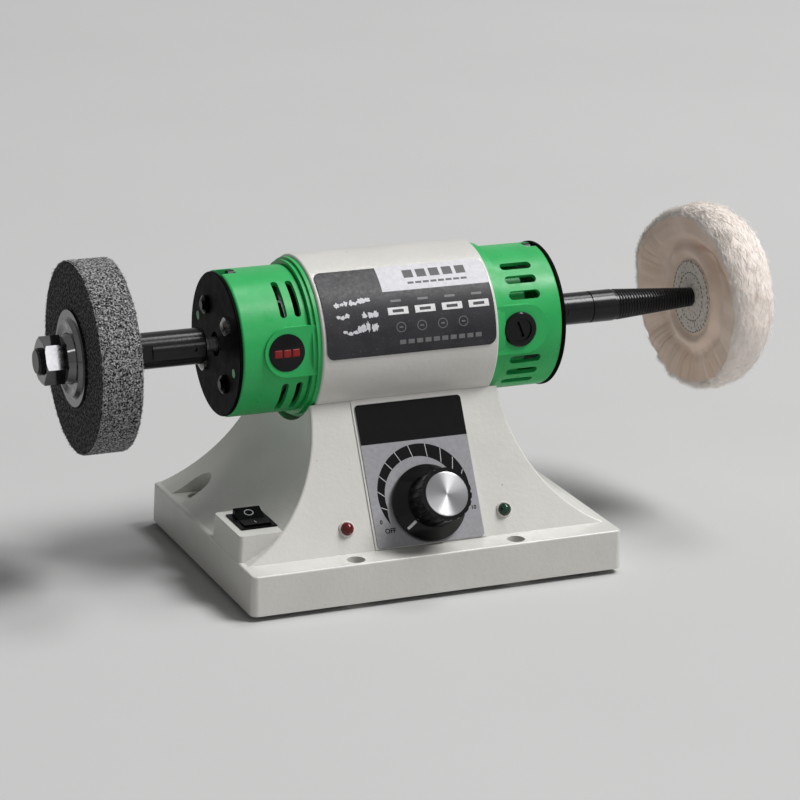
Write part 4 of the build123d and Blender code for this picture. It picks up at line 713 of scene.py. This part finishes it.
def crescent(u, v, lift):
    """Dark band round the knob that runs out in a point at its start."""
    angle = CRESCENT_START + (CRESCENT_END - CRESCENT_START) * u
    turn = radians(angle)
    outer, inner = (circle_edge(turn, circle) for circle in CRESCENT)
    taper = min(1.0, max(0.0, (CRESCENT_START - angle) / CRESCENT_TAPER))
    inner = outer - CRESCENT_POINT - (outer - CRESCENT_POINT - inner) * taper
    r = outer + (inner - outer) * v
    return panel_spot(r * cos(turn), r * sin(turn), lift)


def dial_tick(angle, lean):
    """Dividing line across the crescent, at its own slant."""
    turn, lean = radians(angle), radians(lean)
    outer, inner = (circle_edge(turn, circle) for circle in CRESCENT)
    middle = (outer + inner) / 2
    half = (outer - inner) / 2 / max(TICK_LEAN_COS, cos(lean - turn))

    def place(u, v, lift):
        along = half * (2 * u - 1)
        aside = TICK_WIDTH * (v - 0.5)
        right = middle * cos(turn) + along * cos(lean) - aside * sin(lean)
        up = middle * sin(turn) + along * sin(lean) + aside * cos(lean)
        return panel_spot(right, up, lift + INK)
    return sheet_shape(place, across=1, along=1)


def figure(name, text, right, up, height):
    """A plain printed figure on the dial."""
    curve = bpy.data.curves.new(name, "FONT")
    curve.body = text
    curve.size = height * FIGURE_SIZE * MM
    curve.extrude = INK / 2
    curve.offset = FIGURE_WEIGHT
    curve.align_x = curve.align_y = "CENTER"
    writer = bpy.data.objects.new(name + "_outline", curve)
    mesh = bpy.data.meshes.new_from_object(writer)
    bpy.data.objects.remove(writer)
    mesh.transform(Matrix.Translation(panel_spot(right, up, INK / 2)) @ PANEL_AXES)
    mesh.materials.clear()
    mesh.materials.append(BLACK_INK)
    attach(placed(name, mesh), "base")


def rounded_top(left, right, low, high, radius):
    """Corners of a block whose two upper corners are round."""
    corners = [(left, low), (right, low)]
    for middle, start in ((right - radius, 0), (left + radius, 90)):
        for k in range(CORNER_STEPS + 1):
            turn = radians(start + 90 * k / CORNER_STEPS)
            corners.append((middle + radius * cos(turn), high - radius + radius * sin(turn)))
    return corners


DIAL_LOW, DIAL_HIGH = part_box("dial_plate")
HALF_DIAL = (DIAL_HIGH.x - DIAL_LOW.x) / 2 / MM
DIAL_MID = ((DIAL_HIGH.x + DIAL_LOW.x) / 2 - PANEL_AT.x) / MM
DIAL_TOP = reach("dial_plate", PANEL_UP, PANEL_AT) / MM
edges = rounded_top(DIAL_MID - HALF_DIAL + BLOCK_MARGIN, DIAL_MID + HALF_DIAL - BLOCK_MARGIN,
                    BLOCK_LOW, DIAL_TOP - BLOCK_MARGIN, BLOCK_CORNER)
ticks = [dial_tick(angle, lean) for angle, lean in DIAL_TICKS]
print_on("panel_film", "dial_block", [plate_shape(edges, panel_spot)], BLACK_INK)
print_on("panel_film", "dial_crescent", [sheet_shape(crescent, across=96, along=4)], BLACK_INK)
print_on("panel_film", "dial_ticks", ticks, PALE_INK)
figure("dial_zero", "0", right=-27.5, up=-7.0, height=2.1)
figure("dial_off", "OFF", right=-23.1, up=-12.0, height=2.5)
figure("dial_ten", "10", right=25.2, up=-5.0, height=2.1)


# Knob: spun cap and the white pointer on the skirt
CAP_LIFT = reach("knob_cap", PANEL_OUT, PANEL_AT)
CAP_THICK = 0.9 * MM
CAP_R = reach("knob_cap", X_AXIS, PANEL_AT)
CAP_DISH = 0.25 * MM
CAP_ROLL = 0.35 * MM
CAP_SEGMENTS = 96
ROLL_STEPS = 4
DISH_STEPS = 12
POINTER_ANGLE = -140.0
POINTER_WIDTH = 1.5
POINTER_FOOT = 19.4
POINTER_LENGTH = 4.6


def knob_cap():
    """Cap with a rolled edge and a shallow dish, about its own axis."""
    rings = [(CAP_R, 0.0), (CAP_R, CAP_THICK - CAP_ROLL)]
    for k in range(1, ROLL_STEPS + 1):
        turn = pi / 2 * k / ROLL_STEPS
        out, up = CAP_ROLL * cos(turn), CAP_ROLL * sin(turn)
        rings.append((CAP_R - CAP_ROLL + out, CAP_THICK - CAP_ROLL + up))
    flat = CAP_R - 2 * CAP_ROLL
    for k in range(DISH_STEPS):
        dip = sin(pi / 2 * k / DISH_STEPS)
        rings.append((flat * (1 - k / DISH_STEPS), CAP_THICK - CAP_DISH * dip))
    turns = [2 * pi * j / CAP_SEGMENTS for j in range(CAP_SEGMENTS)]
    points = [(r * cos(turn), r * sin(turn), z) for r, z in rings for turn in turns]
    last = len(points)
    points += [(0, 0, 0), (0, 0, CAP_THICK - CAP_DISH)]
    faces = [tuple(reversed(f)) for f in grid_faces(len(rings), CAP_SEGMENTS, wrap_columns=True)]
    top = last - CAP_SEGMENTS
    for j in range(CAP_SEGMENTS):
        k = (j + 1) % CAP_SEGMENTS
        faces += [(last, k, j), (last + 1, top + j, top + k)]
    cap = placed("spun_cap", new_mesh("spun_cap", points, faces, spun_aluminium()))
    cap.matrix_world = Matrix.Translation(on_panel(0, 0, CAP_LIFT - CAP_THICK)) @ PANEL_AXES
    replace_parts(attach(cap, "knob"), "knob_cap")


KNOB_SKIN = skin("speed_knob")


def pointer_place(u, v, lift):
    """White line down the skirt's cone."""
    r = (POINTER_FOOT - POINTER_LENGTH * u) * MM
    angle = radians(POINTER_ANGLE) + (v - 0.5) * POINTER_WIDTH * MM / r
    return laid(KNOB_SKIN, on_panel(r * cos(angle), r * sin(angle), 0), PANEL_OUT, lift)


knob_cap()
piece("knob_pointer", *sheet_shape(pointer_place, across=6, along=3), WHITE_INK, "knob", "black_plastic")


# Rocker marks: a ring on the raised end and a bar on the low one
ROCKER_TILT = radians(10.0)
ROCKER_RISE = 3.2
ROCKER_DISH = 2.0
ROCKER_HALF = 9.1
MARK_AT = 4.9
MARK_WIDTH = 0.5
MARK_RING_R = 2.25
MARK_RING_STRETCH = 1.15
MARK_BAR = 3.6


def rocker_spot(x, along, end, lift):
    """Point on one of the rocker's two sloping faces; end is 1 at the rear and -1 at the front."""
    slope = ROCKER_DISH / ROCKER_HALF
    y, z = end * along * MM, (ROCKER_RISE - ROCKER_DISH + slope * along) * MM
    y -= end * slope * lift
    z += lift
    turned_y = y * cos(ROCKER_TILT) - z * sin(ROCKER_TILT)
    turned_z = y * sin(ROCKER_TILT) + z * cos(ROCKER_TILT)
    return ROCKER_AT + Vector((x * MM, turned_y, turned_z))


def rocker_ring(u, v, lift):
    turn = 2 * pi * u
    r = MARK_RING_R - MARK_WIDTH * v
    return rocker_spot(MARK_RING_STRETCH * r * cos(turn), MARK_AT + r * sin(turn), 1, lift)


def rocker_bar(u, v, lift):
    return rocker_spot(MARK_WIDTH * (u - 0.5), MARK_AT + MARK_BAR * (v - 0.5), -1, lift)


marks = [sheet_shape(rocker_ring, across=40, along=1, wrap=True), sheet_shape(rocker_bar, across=1, along=1)]
piece("rocker_marks", *joined(marks), ROCKER_INK, "rocker_key", "black_plastic")


# Threads of the stud and of the tapered spindle, in millimetres
THREAD_STEPS = 40
# How many times shorter than the thread its rising start and its fading end are
THREAD_RUN_IN = 40
THREAD_RUN_OUT = 20
# Half widths of a ridge at its foot and crest, as shares of the pitch, and how deep its foot is sunk
RIDGE_FOOT = 0.44
RIDGE_CREST = 0.1
RIDGE_SUNK = 0.1


def thread(x0, x1, r0, r1, pitch, height):
    """Helical ridge round the shaft, from x0 to x1, on a radius that runs from r0 to r1."""
    turns = (x1 - x0) / pitch
    count = int(turns * THREAD_STEPS)
    points = []
    for i in range(count + 1):
        share = i / count
        angle = 360.0 * turns * share
        x = x0 + (x1 - x0) * share
        r = r0 + (r1 - r0) * share
        crest = height * min(1.0, THREAD_RUN_IN * share, THREAD_RUN_OUT * (1 - share))
        for offset, rise in ((-RIDGE_FOOT, -RIDGE_SUNK), (-RIDGE_CREST, crest),
                             (RIDGE_CREST, crest), (RIDGE_FOOT, -RIDGE_SUNK)):
            points.append(round_shaft((x + offset * pitch) * MM, angle, (r + rise) * MM))
    faces = [tuple(reversed(f)) for f in grid_faces(count + 1, 4, wrap_columns=True)]
    return points, faces + [(3, 2, 1, 0), tuple(4 * count + k for k in range(4))]


TAPER_LENGTH = 67.0
TAPER_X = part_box("right_spindle")[1].x / MM - TAPER_LENGTH
STUD_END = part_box("left_spindle")[0].x / MM
NUT_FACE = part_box("spindle_nut")[0].x / MM
STUD_R = 6.95
taper_thread = thread(TAPER_X + 0.9, TAPER_X + 64.0, r0=8.1, r1=3.65, pitch=1.75, height=0.55)
piece("taper_thread", *taper_thread, BLACK_STEEL, "rotor", "black_steel")
stud_thread = thread(STUD_END + 0.6, NUT_FACE - 0.3, r0=STUD_R, r1=STUD_R, pitch=2.0, height=0.3)
piece("stud_thread", *stud_thread, BLACK_STEEL, "rotor", "black_steel")


# Grey fibre wheel: a rough body with loose strands on it
WHEEL_LOW, WHEEL_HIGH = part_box("fibre_wheel")
WHEEL_R = (WHEEL_HIGH.z - WHEEL_LOW.z) / 2 / MM
WHEEL_LEFT = WHEEL_LOW.x / MM
WHEEL_RIGHT = WHEEL_HIGH.x / MM
WHEEL_MIDDLE = (WHEEL_LEFT + WHEEL_RIGHT) / 2
WHEEL_BORE = 7.1
WHEEL_EDGE = 0.9
WHEEL_SHOULDER = WHEEL_R - WHEEL_EDGE
WHEEL_SEGMENTS = 600
FACE_STEP = 1.0
RIM_STEP = 0.55
RIM_SINK = 0.15
FACE_SINK = 0.1
FACE_GRAIN = 0.6


def wheel_place(turn, spot):
    """Point of the wheel's body, roughened on the rim and less so on the two faces."""
    x, r = spot
    point = round_shaft(x * MM, degrees(turn), r * MM)
    rough = ripple(point, (0.32, 900.0), (0.22, 420.0))
    if r < WHEEL_BORE + 1:
        return point
    if r > WHEEL_SHOULDER - 0.1:
        return round_shaft(x * MM, degrees(turn), (r + rough - RIM_SINK) * MM)
    return point + X_AXIS * copysign(FACE_GRAIN * rough - FACE_SINK, x - WHEEL_MIDDLE) * MM


wheel_corners = ((WHEEL_LEFT, WHEEL_BORE, FACE_STEP), (WHEEL_LEFT, WHEEL_SHOULDER, RIM_STEP),
                 (WHEEL_LEFT + WHEEL_EDGE, WHEEL_R, RIM_STEP), (WHEEL_RIGHT - WHEEL_EDGE, WHEEL_R, RIM_STEP),
                 (WHEEL_RIGHT, WHEEL_SHOULDER, FACE_STEP), (WHEEL_RIGHT, WHEEL_BORE, FACE_STEP))
wheel_profile = [p for a, b in zip(wheel_corners, wheel_corners[1:]) for p in spread(a[:2], b[:2], a[2])]
wheel_profile.append((WHEEL_RIGHT, WHEEL_BORE))
wheel_body = shell(wheel_profile, WHEEL_SEGMENTS, wheel_place)
on_face = [int(x in (WHEEL_LEFT, WHEEL_RIGHT)) for x, r in wheel_profile for _ in range(WHEEL_SEGMENTS)]
# The faces take a far darker copy of the rim's fibre: painted shade on the faces that turn away from the key
# light.
RIM_FIBRE = bonded_fibre("bonded_fibre_rim", pore=0.012, grain_tone=0.43, fineness=1050.0)
SHADED_FACE_FIBRE = bonded_fibre("bonded_fibre_face_painted_shade", pore=0.005, grain_tone=0.115, fineness=720.0)
piece("wheel_body", *wheel_body, RIM_FIBRE, "rotor", "grey_fibre", ("fibre_wheel",), second=SHADED_FACE_FIBRE,
      parts=on_face)
EDGE_SHARE = 0.22
EDGE_INSET = 0.3
STRAND_INSET = 0.2
STRAND_SUNK = 0.12
EDGE_SUNK = 0.36


def wheel_strands(count, seed):
    """Short fibres that lie on the rim and along its two edges in every direction."""
    draw = np.random.default_rng(seed)
    roots, ways, bends = [], [], []
    for _ in range(count):
        turn = draw.uniform(0, 360)
        swing = draw.uniform(0, 2 * pi)
        x = draw.uniform(WHEEL_LEFT + STRAND_INSET, WHEEL_RIGHT - STRAND_INSET)
        if draw.uniform() < EDGE_SHARE:
            x = draw.choice((WHEEL_LEFT + EDGE_INSET, WHEEL_RIGHT - EDGE_INSET))
            swing = pi / 2 + draw.normal(0, 0.3)
        inset = WHEEL_EDGE if min(x - WHEEL_LEFT, WHEEL_RIGHT - x) < 0.5 else 0.0
        out = round_shaft(0, turn, 1) - round_shaft(0, 0, 0)
        way = X_AXIS * cos(swing) + out.cross(X_AXIS) * sin(swing)
        roots.append(round_shaft(x * MM, turn, (WHEEL_R - STRAND_SUNK - EDGE_SUNK * inset) * MM))
        ways.append(way + out * draw.normal(0.04, 0.06))
        bends.append(out.cross(way) * draw.normal(0, 0.35) - out * 0.10)
    lengths = draw.uniform(0.7, 1.7, count) * MM
    radii = draw.uniform(0.11, 0.20, count) * MM
    return strand_shape(roots, ways, lengths, radii, bends)


piece("wheel_strands", *wheel_strands(count=11000, seed=7), grey_strands(), "rotor", "grey_fibre")


# Cotton buff: one crumpled cloth body and the fuzz of its frayed rim
BUFF_DISC_LOW, BUFF_DISC_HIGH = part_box("buff_disc_front")
BUFF_HUB_FRONT = BUFF_DISC_HIGH.x / MM
BUFF_HUB_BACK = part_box("buff_disc_back")[0].x / MM
BUFF_HUB = 20.5
BUFF_BORE = 5.0
BUFF_R = 51.0
BUFF_BACK_R = 47.5
BUFF_SEGMENTS = 480
# Around the wheel, from the rear over the top to the front: degrees and millimetres
RIDGE_PLACE = ((0, -9.0), (25, -12.5), (45, -8.0), (60, -5.0), (75, -4.0), (95, -2.5), (120, -1.0),
               (150, 0.0), (180, 0.5), (225, 0.5), (262, 0.0), (285, -3.0), (304, -4.7), (326, -7.4),
               (345, -8.5))
RIDGE_R = ((0, 48.5), (45, 46.5), (75, 45.0), (95, 43.5), (118, 42.0), (145, 44.5), (180, 46.5),
           (225, 47.5), (270, 47.5), (315, 49.0))
BACK_PLACE = ((0, 18.0), (60, 17.0), (90, 18.5), (125, 23.5), (180, 24.5), (215, 21.0), (240, 18.0),
              (270, 16.0), (320, 17.0))
EASE_STEP = 6
# Radius, half width and height or depth of the collar, the crease and the slanting fold
COLLAR = (25.5, 5.0, 2.3)
CREASE = (32.0, 4.2, 2.6)
FOLD = (31, 2.4, 3.4)
FOLD_SLANT = 0.17
FOLD_FROM = 100
# Where the crease, the fold, the deepest pleats and the full rear of the rim lie: middle and half width
CREASE_REACH = (125, 85)
FOLD_REACH = (132, 48)
PLEAT_REACH = (258, 45)
FULL_REACH = (40, 60)
# Radii between which pleats and waves grow, their heights, and the least share that is left elsewhere
PLEAT_GROWTH = (27, 40)
WAVE_GROWTH = (22, 32)
PLEAT_HEIGHT = 1.5
PLEAT_MORE = 1.3
WAVE_HEIGHT = 1.8
CREASE_LEAST = 0.35
PLEAT_LEAST = 0.12
# Section of the rim: how far its crown leans forward, how full it is and how much fuller at the rear
RIM_LEAN = 0.78
RIM_POWER = 0.75
FULL_POWER = 0.2


def smooth_step(value, low, high):
    t = min(1.0, max(0.0, (value - low) / (high - low)))
    return t * t * (3 - 2 * t)


def hump(value, middle, half):
    """Round bump that is 1 in the middle and 0 at its two ends."""
    return cos(pi / 2 * min(1.0, abs(value - middle) / half)) ** 2


@functools.cache
def around(table, turn):
    """Value at an angle of a table that goes round, with its corners eased."""
    angles, values = zip(*table)
    near = [degrees(turn) + EASE_STEP * k for k in range(-2, 3)]
    return float(np.mean(np.interp(near, angles, values, period=360)))


def buff_face(turn, r, edge):
    """Front face: a swollen collar round the disc, a crease and a fold outside it, pleats towards the rim."""
    if r <= BUFF_HUB:
        return BUFF_HUB_FRONT
    ring = Vector((cos(turn), sin(turn), 0))
    angle = degrees(turn)
    x = around(RIDGE_PLACE, turn) * smooth_step(r, BUFF_HUB + 2, edge - 3)
    middle, half, rise = COLLAR
    x -= hump(r, middle, half) * (rise + ripple(ring, (0.9, 3.0)))
    middle, half, depth = CREASE
    crease = CREASE_LEAST + (1 - CREASE_LEAST) * hump(angle, *CREASE_REACH)
    x += hump(r, middle + ripple(ring, (1.5, 2.2)), half) * depth * crease
    middle, half, depth = FOLD
    x += hump(r, middle + FOLD_SLANT * (angle - FOLD_FROM), half) * hump(angle, *FOLD_REACH) * depth
    share = PLEAT_LEAST + (1 - PLEAT_LEAST) * smooth_step(-ring.y, 0.3, 0.9)
    height = PLEAT_HEIGHT + PLEAT_MORE * hump(angle, *PLEAT_REACH)
    x += smooth_step(r, *PLEAT_GROWTH) * share * height * ripple(ring, (1.0, 11.0), (0.5, 23.0))
    wave = noise.noise(Vector((ring.x * 3, ring.y * 3, r * 0.05)))
    x += smooth_step(r, *WAVE_GROWTH) * WAVE_HEIGHT * wave
    return BUFF_HUB_FRONT + x


def buff_place(turn, spot):
    """Point of the buff: spot names the part of its section and how far along that part it lies."""
    part, t = spot
    ring = Vector((cos(turn), sin(turn), 0))
    ragged = ripple(ring, (0.7, 14.0), (0.4, 30.0))
    edge = around(RIDGE_R, turn) + ripple(ring, (0.9, 4.0)) + 0.7 * ragged
    far = around(BACK_PLACE, turn) + BUFF_HUB_FRONT + 0.8 * ragged
    if part == "front":
        r = BUFF_BORE + (edge - BUFF_BORE) * t
        x = buff_face(turn, r, edge)
    elif part == "rim":
        near = buff_face(turn, edge, edge) + 0.5 * ragged
        full = hump((degrees(turn) + 180) % 360 - 180, *FULL_REACH)
        bulge = BUFF_R + 0.9 * noise.noise(ring * 3.3 + Vector((0, 0, 4))) - (edge + BUFF_BACK_R) / 2
        x = near + (far - near) * t
        swell = sin(pi * t ** RIM_LEAN) ** (RIM_POWER - FULL_POWER * full)
        r = edge * (1 - t) + BUFF_BACK_R * t + bulge * swell
        r += sin(pi * t) * 0.5 * noise.noise(Vector((ring.x * 7, ring.y * 7, x * 0.22)))
    else:
        r = BUFF_BACK_R + (BUFF_BORE - BUFF_BACK_R) * t
        rise = smooth_step(r, BUFF_HUB + 1, BUFF_BACK_R)
        x = BUFF_HUB_BACK + (far - BUFF_HUB_BACK) * rise
        x += rise * 0.8 * noise.noise(Vector((ring.x * 6, ring.y * 6, r * 0.06)))
    return round_shaft(x * MM, degrees(turn) - 90.0, r * MM)


buff_profile = [("front", t) for t in np.linspace(0, 1, 66)[:-1]]
buff_profile += [("rim", t) for t in np.linspace(0, 1, 40)]
buff_profile += [("back", t) for t in np.linspace(0, 1, 36)[1:]]
buff_body = shell(buff_profile, BUFF_SEGMENTS, buff_place)
on_rim = [int(part == "rim") for part, t in buff_profile for _ in range(BUFF_SEGMENTS)]
CLOTH = cotton("cotton_cloth", (0.96, 0.775, 0.655), (0.90, 0.70, 0.57))
piece("buff_cloth", *buff_body, CLOTH, "rotor", "cotton", ("buff_wheel",), second=combed_cotton(),
      parts=on_rim)
FRINGE_SHARE = 0.34
TUFT_SHARE = 0.5
# Tufts stand up along the rear and top, and fewer of them at the foot: degrees
TUFT_TOP = (-10, 78)
TUFT_FOOT = (245, 305)
TUFT_TOP_SHARE = 0.72
# Reach of the fringe across the rim, and lengths in millimetres
FRINGE_REACH = (0.0, 0.10)
FRINGE_LENGTH = (1.6, 3.6)
COMBED_LENGTH = (3.0, 8.0)
FUZZ_SUNK = 0.2
# Small steps round and across the rim that give a thread its directions
STEP_ROUND = 0.01
STEP_ACROSS = 0.03


def buff_fuzz(count, seed):
    """Frayed threads on the rim, combed round the wheel, and a fringe with tufts along its front edge."""
    draw = np.random.default_rng(seed)
    roots, ways, bends, lengths = [], [], [], []
    for _ in range(count):
        turn = draw.uniform(0, 2 * pi)
        fringe = draw.uniform() < FRINGE_SHARE
        tuft = fringe and draw.uniform() < TUFT_SHARE
        if tuft:
            where = TUFT_TOP if draw.uniform() < TUFT_TOP_SHARE else TUFT_FOOT
            turn = radians(draw.uniform(*where))
        t = draw.uniform(*FRINGE_REACH) if fringe else draw.uniform(0.0, 1.0)
        root = buff_place(turn, ("rim", t))
        along = (buff_place(turn + STEP_ROUND, ("rim", t)) - root).normalized()
        across = (buff_place(turn, ("rim", min(1.0, t + STEP_ACROSS))) - root).normalized()
        out = along.cross(across).normalized()
        if out.dot(root - SHAFT) < 0:
            out = -out
        sense = draw.choice((-1, 1), p=(0.3, 0.7))
        way = along * sense * (0.6 if fringe else 1.0) + across * draw.normal(0, 0.25)
        if tuft:
            way += Vector((0, root.y - SHAFT.y, root.z - SHAFT.z)).normalized() * draw.uniform(0.8, 2.2)
        else:
            way += out * (draw.uniform(0.1, 0.9) if fringe else abs(draw.normal(0.10, 0.18)))
        roots.append(root - out * FUZZ_SUNK * MM)
        ways.append(way)
        bends.append(across * draw.normal(0, 0.2) - out * draw.uniform(0.02, 0.15))
        lengths.append(draw.uniform(*(FRINGE_LENGTH if fringe else COMBED_LENGTH)) * MM)
    radii = draw.uniform(0.06, 0.13, count) * MM
    return strand_shape(roots, ways, lengths, radii, bends)


piece("buff_fuzz", *buff_fuzz(count=13000, seed=11), cotton_fuzz(), "rotor", "cotton", smooth=False)


# Stitches of the buff's front disc
THREAD = moulding("dark_thread", (0.055, 0.045, 0.04), 0.85)
DISC_FACE = BUFF_DISC_LOW.x / MM
DISC_R = (BUFF_DISC_HIGH.z - BUFF_DISC_LOW.z) / 2 / MM
STITCH_STEPS = 8
STITCH_HALF = 0.28
STITCH_RISE = 0.24


def stitch(start, sweep, radius):
    """One stitch, pointed at both ends and half sunk into the disc's face."""
    points = []
    for i in range(STITCH_STEPS + 1):
        swell = sin(pi * i / STITCH_STEPS) ** 0.5
        for j in range(STITCH_STEPS):
            turn = 2 * pi * j / STITCH_STEPS
            r = radius + STITCH_HALF * swell * cos(turn)
            x = DISC_FACE - STITCH_RISE * swell * sin(turn)
            points.append(round_shaft(x * MM, start + sweep * i / STITCH_STEPS, r * MM))
    return points, grid_faces(STITCH_STEPS + 1, STITCH_STEPS, wrap_columns=True)


def stitches(radius, count, seed):
    """Ring of short raised stitches on the disc's face."""
    draw = np.random.default_rng(seed)
    step = 360.0 / count
    shapes = []
    for i in range(count):
        sweep = step * draw.uniform(0.62, 0.86)
        shapes.append(stitch(step * i, sweep, radius + draw.normal(0, 0.12)))
    return joined(shapes)


piece("disc_edge_stitches", *stitches(DISC_R - 0.5, count=44, seed=3), THREAD, "rotor", "fibre_disc")
piece("disc_inner_stitches", *stitches(DISC_R * 0.66, count=30, seed=5), THREAD, "rotor", "fibre_disc")


# Floor, light and camera
FLOOR_HALF = 20.0
LIGHT_AIM = Vector((0, 0, 0.09))


def floor():
    shade = Shade("floor", (0.56, 0.56, 0.557), 0.9, gloss=0.1).mottled((0.55, 0.55, 0.547), 4.0)
    corners = [(FLOOR_HALF * x, FLOOR_HALF * y, 0) for x, y in ((-1, -1), (1, -1), (1, 1), (-1, 1))]
    ground = placed("floor", new_mesh("floor", corners, [(0, 1, 2, 3)], shade.mat, smooth=False))


def softbox(name, place, size, level):
    """Square lamp aimed at the object; at level 1 it lights a facing white surface to full white."""
    lamp = bpy.data.lights.new(name, "AREA")
    lamp.size = size
    gap = Vector(place) - LIGHT_AIM
    lamp.energy = level * pi ** 2 * gap.length_squared
    thing = placed(name, lamp)
    thing.location = place
    thing.rotation_mode = "QUATERNION"
    thing.rotation_quaternion = gap.to_track_quat("Z", "Y")


def sky(level, shown):
    """Plain surroundings: one level lights the object, and a paler one shows behind it and in reflections."""
    world = bpy.data.worlds.new("studio")
    world.use_nodes = True
    bpy.context.scene.world = world
    tree = world.node_tree
    rays = add_node(tree, "LightPath").outputs
    seen = rays["Is Camera Ray"]
    for kind in ("Is Glossy Ray", "Is Transmission Ray"):
        seen = add_node(tree, "Math", {0: seen, 1: rays[kind]}, operation="MAXIMUM").outputs[0]
    tones = {0: seen, 6: (level, level, level, 1), 7: (shown, shown, shown, 1)}
    tone = add_node(tree, "Mix", tones, data_type="RGBA").outputs[2]
    tree.links.new(tone, tree.nodes["Background"].inputs["Color"])


def camera():
    data = bpy.data.cameras.new("camera")
    data.lens = CAMERA_LENS
    data.sensor_width = SENSOR
    thing = placed("camera", data)
    axes = Matrix((CAMERA_RIGHT, CAMERA_UP, CAMERA_RIGHT.cross(CAMERA_UP))).transposed()
    thing.matrix_world = Matrix.Translation(CAMERA_AT) @ axes.to_4x4()
    bpy.context.scene.camera = thing


floor()
sky(level=0.13, shown=0.48)
softbox("key_light", (4.6, -2.5, 7.4), size=3.2, level=0.89)
softbox("top_light", (3.0, 1.1, 7.2), size=2.2, level=0.24)
softbox("front_light", (1.46, -5.05, 2.88), size=1.0, level=0.05)
softbox("left_light", (-3.1, -3.0, 4.3), size=0.6, level=0.016)
camera()
bpy.context.scene.view_settings.view_transform = "Standard"
